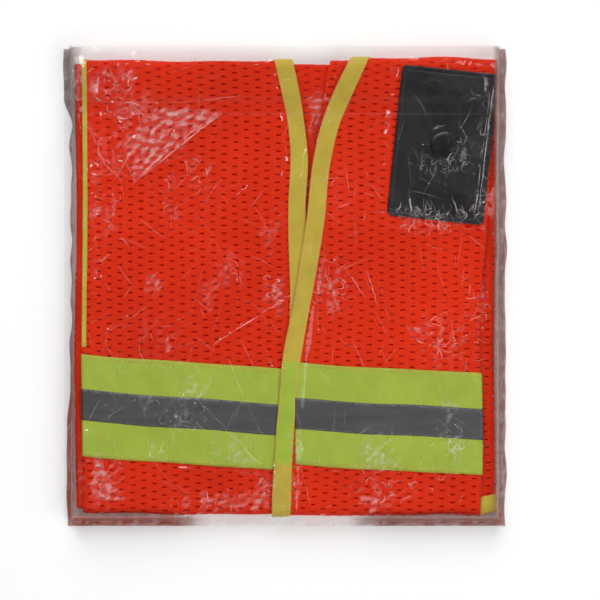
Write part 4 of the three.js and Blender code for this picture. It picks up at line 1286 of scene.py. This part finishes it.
def film_ridges():
    """Narrow folded ridges that stand on the film and catch the light, each with a painted highlight
    brightest along its crest.
    """
    points, light, faces = [], [], []
    for x, y, half, bright in ridge_paths():
        if np.abs(x).max() >= 149 or np.abs(y).max() >= 160:
            continue
        along_x, along_y = np.gradient(x), np.gradient(y)
        norm = np.hypot(along_x, along_y) + 1e-9
        taper = np.sin(np.linspace(0.06, 0.94, len(x)) * math.pi) ** 0.6
        across_x = -along_y / norm * half * taper
        across_y = along_x / norm * half * taper
        faces.append(grid_faces(3, len(x))[:, ::-1] + sum(len(p) for p in points))
        # each ridge gets a painted highlight, brightest along its crest
        for side, lift, highlight_weight in ((-1, 0.0, 0.35), (0, 0.3, 1.0), (1, 0.0, 0.35)):
            row = [x + side * across_x, y + side * across_y, lift * taper * half]
            points.append(np.stack(row, axis=-1))
            light.append(bright * highlight_weight * taper)
    flat = np.concatenate(points)
    flat[:, 2] += film_top(flat[:, 0], flat[:, 1])[0] + 0.04
    thing = new_mesh("film_crease_ridges", flat, faces, RIDGE)
    attribute(thing, "highlight_haze", np.concatenate(light))
    attribute(thing, "margin_shade", np.zeros(len(flat)))
    return thing


def vest_top(x, y):
    """The height of what lies under the film."""
    half = BINDING_WIDTH / 2
    left_half = smooth_step(x - left_edge(y), -half - 9, -half + 1)
    height = RIGHT_TOP + (LEFT_TOP - RIGHT_TOP) * left_half
    for line in (left_edge, right_edge):
        height = height + 0.75 * (1 - smooth_step(np.abs(x - line(y)), half, 2 * half))
    for place, side in ((LEFT_TAPE, 1), (RIGHT_TAPE, -1)):
        away = np.abs(y - tape_middle(place)(x))
        mine = smooth_step(side * (x - left_edge(y)), -2, 2)
        height = height + 0.5 * mine * (1 - smooth_step(away, TAPE_WIDTH / 2, TAPE_WIDTH / 2 + 5))
    u, w = pocket_uw(x, y)
    out = np.maximum(np.abs(u) - HALF_WIDTH, np.abs(w) - HALF_HEIGHT)
    snap_out = np.hypot(x - SNAP_X, y - SNAP_Y) - SNAP_RADIUS
    height = height + 1.5 * (1 - smooth_step(out, 0, 11))
    height = height + 1.1 * (1 - smooth_step(snap_out, 0.5, 7))
    return height + relief(x, y)


def film_top(x, y):
    """The film's height over the vest, with the height of its creases and the painted highlight on
    them.
    """
    high, highlight_haze = film_creases(x, y)
    return vest_top(x, y) + FILM_CLEAR + high * CREASE_SHARE, high, highlight_haze


def left_margin(y):
    """The left margin's width and weight along y, from 0 to 1: full at its top, least half way."""
    ear = smooth_step(y, 112, 138)
    foot = 1 - smooth_step(y, -112, -40)
    return np.clip(ear + 0.5 * foot + 0.12, 0, 1)


def film_outline(x, y):
    """x of the film's points, once its left side is narrowed and both sides waver."""
    reach = FILM_X - WALL_FROM
    outside = np.maximum(-x - WALL_FROM, 0) / reach
    narrowed = reach * (1 - left_margin(y)) * 0.72 + 0.9 * swell(0 * x, y, 401, 26) * 0.8
    wavered = np.maximum(x - WALL_FROM, 0) / 8 * 0.7 * swell(x * 0, y, 402, 30)
    return x + outside * narrowed - wavered


def margin_shading(x, y, in_x, in_y):
    """How much painted grey shade the film gets where it bunches up in its margins, and in the ear
    at its top left corner.
    """
    margin_shade = 1 - smooth_step(np.minimum(in_x, in_y), 6.5, 10.5)
    margin_shade = margin_shade * np.where(x < 0, np.clip(left_margin(y) + 0.62, 0, 1), 1)
    margin_shade = margin_shade * (1 - smooth_step(y, MOUTH_FROM, MOUTH_TO) * (np.abs(x) < 140))
    past_middle = smooth_step(np.abs(x + 5), 45, 80)
    margin_shade = np.where(in_y < MARGIN, margin_shade * past_middle, margin_shade)
    ear = np.exp(-((((x + 151) / 10) ** 2 + ((y - 152) / 25) ** 2) ** 2))
    margin_shade = np.maximum(margin_shade, ear * ((x < -149) | (y > 161)))
    return 0.88 * margin_shade * np.clip(0.9 + 0.12 * swell(x, y, 405, 12), 0.5, 1)


def margin_vest_reflection(x, y, in_y):
    """How strong the painted reflection of the vest's orange is in the film's margins."""
    vest_reflection = np.where(x < 0, 0.9 * (1 - smooth_step(y, 60, 120)), 0.25)
    return np.maximum(vest_reflection, 0.55 * (in_y < MARGIN))


def grid_lines(end, *spans):
    """Grid lines over spans that follow one another, each given by its start and its step."""
    stops = [start for start, _ in spans[1:]] + [end]
    lines = [np.arange(start, stop, step) for (start, step), stop in zip(spans, stops)]
    return np.concatenate([*lines, [end]])


def front_film():
    """The bag's front: draped over the vest, down to the welded edges, and open at the top."""
    inner = FILM_X - MARGIN
    across = grid_lines(FILM_X, (-FILM_X, FINE_STEP), (-inner, COARSE_STEP), (inner, FINE_STEP))
    up = grid_lines(FILM_HIGH[1], (-FILM_Y, FINE_STEP), (MARGIN + 2 - FILM_Y, COARSE_STEP))
    flat_x, y = np.meshgrid(across, up)
    x = film_outline(flat_x, y)
    in_x, in_y = FILM_X - np.abs(flat_x), y + FILM_Y
    top, high, highlight_haze = film_top(x, y)
    rise = np.minimum(smooth_step(in_x, FLANGE, 7.3), smooth_step(in_y, FLANGE, 8.4))
    flutter = np.abs(0.5 * swell(x, y, 403, 9) + 0.5 * swell(x, y, 404, 22))
    seam = SEAM_HEIGHT + 1.5 * flutter * smooth_step(np.minimum(in_x, in_y), 0, 3)
    z = seam + (top - seam) * rise
    mouth = smooth_step(y, MOUTH_FROM, MOUTH_TO)
    z = np.minimum(z, FILM_HIGH[2] - 0.5 + 0.4 * high) * mouth + z * (1 - mouth)
    points = np.stack([x, y, z], axis=-1).reshape(-1, 3)
    thing = new_mesh("front_film", points, [grid_faces(*x.shape)], FILM)
    # painted highlight on the creases, and painted grey shade with a painted reflection of the vest
    # in the margins
    attribute(thing, "highlight_haze", (highlight_haze * rise).ravel())
    attribute(thing, "margin_shade", margin_shading(x, y, in_x, in_y).ravel())
    attribute(thing, "vest_reflection", margin_vest_reflection(x, y, in_y).ravel())
    return thing


def sheet_film(name, low, high, z_of, material, step, highlight_haze_of=None):
    """A sheet of film over a rectangle, at the heights that z_of gives."""
    columns = max(3, int((high[0] - low[0]) / step) + 1)
    rows = max(3, int((high[1] - low[1]) / step) + 1)
    x, y = np.meshgrid(np.linspace(low[0], high[0], columns), np.linspace(low[1], high[1], rows))
    points = np.stack([x, y, z_of(x, y)], axis=-1).reshape(-1, 3)
    thing = new_mesh(name, points, [grid_faces(rows, columns)], material)
    highlight_haze = highlight_haze_of(x, y) if highlight_haze_of else np.zeros(x.shape)
    attribute(thing, "highlight_haze", highlight_haze.ravel())
    attribute(thing, "margin_shade", np.zeros(x.size))
    return thing


def flap_height(x, y):
    return mm_middle("bag_flap")[2] + 0.55 * crumple(x, y, 610, 40) + 0.12 * swell(x, y, 611, 14)


def glue_height(x, y):
    return flap_height(x, y) - 0.16


def flap_edge_highlight(_, y):
    """The painted highlight along the flap's cut edge."""
    return 0.045 * (1 - smooth_step(y, FLAP_LOW[1] + 0.4, FLAP_LOW[1] + 1.2))


def back_height(x, y):
    return 0.12 + 0.06 * np.abs(swell(x, y, 620, 30))


def flap():
    """The self-seal flap, folded over the bag's front, with its strip of adhesive."""
    low, high = FLAP_LOW + (5, 0, 0), FLAP_HIGH - (2, 0, 0)
    sheet = sheet_film("flap_film", low, high, flap_height, FILM, 1.0, flap_edge_highlight)
    low, high = mm_box("bag_adhesive_strip")
    glue = sheet_film("flap_adhesive", low, high, glue_height, ADHESIVE, 1.25)
    piece(sheet, "flap", "film", "bag_flap")
    piece(glue, "flap", "adhesive", "bag_adhesive_strip")
    return sheet, glue


def mouth_film():
    """The film that joins the bag's back to its flap, upright at the mouth."""
    low, high = mm_box("bag_mouth_turn")
    z, x = np.meshgrid(np.linspace(low[2], high[2], 14), np.linspace(low[0], high[0], 220))
    share = (z - low[2]) / (high[2] - low[2])
    bulge = 0.5 * swell(x, z, 630, 24) * np.sin(math.pi * share)
    points = np.stack([x, mm_middle("bag_mouth_turn")[1] + bulge, z], axis=-1).reshape(-1, 3)
    thing = new_mesh("mouth_film", points, [grid_faces(*x.shape)], FILM)
    attribute(thing, "highlight_haze", np.zeros(x.size))
    attribute(thing, "margin_shade", np.zeros(x.size))
    return thing


def bag():
    """The bag's front, with its creases, and its back and mouth."""
    front = piece(front_film(), "bag", "film", "bag_front_film")
    ridges = piece(film_ridges(), "bag", "film")
    back = sheet_film("back_film", *mm_box("bag_back_film"), back_height, FILM, 3.0)
    piece(back, "bag", "film", "bag_back_film")
    piece(mouth_film(), "bag", "film", "bag_mouth_turn")
    return front, ridges, back


# ---------------------------------------------------------------- stage, lights and camera


def floor():
    """A plain white floor, just under the pack."""
    mesh = bpy.data.meshes.new("floor")
    corners = [(x * 6.0, y * 6.0, -0.0004) for x, y in ((-1, -1), (1, -1), (1, 1), (-1, 1))]
    mesh.from_pydata(corners, [], [(0, 1, 2, 3)])
    paper = Nodes("floor_paper").surface(Base_Color=(0.97, 0.97, 0.97, 1), Roughness=0.9)
    mesh.materials.append(paper)
    placed("floor", mesh)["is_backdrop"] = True


def sky():
    """Soft white light from all round, strongest near the horizon."""
    world = bpy.data.worlds.new("studio")
    bpy.context.scene.world = world
    world.use_nodes = True
    nodes, link = world.node_tree.nodes, world.node_tree.links.new
    split = nodes.new("ShaderNodeSeparateXYZ")
    fade = nodes.new("ShaderNodeMapRange")
    for key, value in (("From Min", 0.05), ("From Max", 0.85), ("To Min", 1.15), ("To Max", 0.18)):
        fade.inputs[key].default_value = value
    link(nodes.new("ShaderNodeTexCoord").outputs["Generated"], split.inputs[0])
    link(split.outputs["Z"], fade.inputs["Value"])
    link(fade.outputs["Result"], nodes["Background"].inputs["Strength"])


# Each light's angles to the side and up from straight overhead, distance, size and power.
LIGHTS = [
    ("key", -15, 54, 2.6, 2.2, 72),
    ("fill", 48, -20, 2.3, 1.6, 23),
    ("low_fill", 10, -52, 2.3, 1.6, 21),
    ("glint_left", -17, 13, 1.5, 0.07, 0.32),
    ("glint_right", 22, 16, 1.5, 0.07, 0.45),
    ("glint_low", -6, -30, 1.5, 0.08, 0.6),
    ("glint_far", -34, -18, 1.5, 0.08, 0.6),
]


def lights():
    """A soft key light, two fills and the small bright lights that the film glints in."""
    for name, side, up, reach, size, power in LIGHTS:
        light = bpy.data.lights.new(name, "AREA")
        light.size = size
        light.energy = power
        thing = placed(name, light)
        toward = Vector((math.tan(math.radians(side)), math.tan(math.radians(up)), 1)).normalized()
        thing.location = toward * reach
        thing.rotation_euler = (-toward).to_track_quat("-Z", "Y").to_euler()


def camera():
    """Straight down on the pack, as wide as 420 mm at the cloth."""
    lens = bpy.data.cameras.new("camera")
    lens.sensor_width = 36
    height, cloth_height, field = 1.6, 0.015, 0.42
    lens.lens = lens.sensor_width * (height - cloth_height) / field
    thing = placed("camera", lens)
    thing.location = (0.01085, -0.0091, height)
    bpy.context.scene.camera = thing


# ---------------------------------------------------------------- all of it together

camera()
floor()
sky()
lights()
left_cloth, right_cloth, back_cloth = cloth_panels()
left_trims, right_trims, back_trims = bindings()
left_tapes, right_tapes, back_tapes = tapes()
pocket_set = pocket()
front, ridges, back_of_bag = bag()
flap_sheet, flap_glue = flap()

ring = bpy.data.objects["pocket_snap_ring"]
ring.data.materials.clear()
ring.data.materials.append(SNAP)

for cloth, trims in (
    (left_cloth, [*left_trims, *left_tapes, *pocket_set]),
    (right_cloth, [*right_trims, *right_tapes]),
):
    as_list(trims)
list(back_trims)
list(back_tapes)

bpy.context.scene.view_settings.view_transform = "Standard"

boxes = {"cad": cad_box, "visual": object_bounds()}
{key: [list(map(float, corner)) for corner in box] for key, box in boxes.items()}
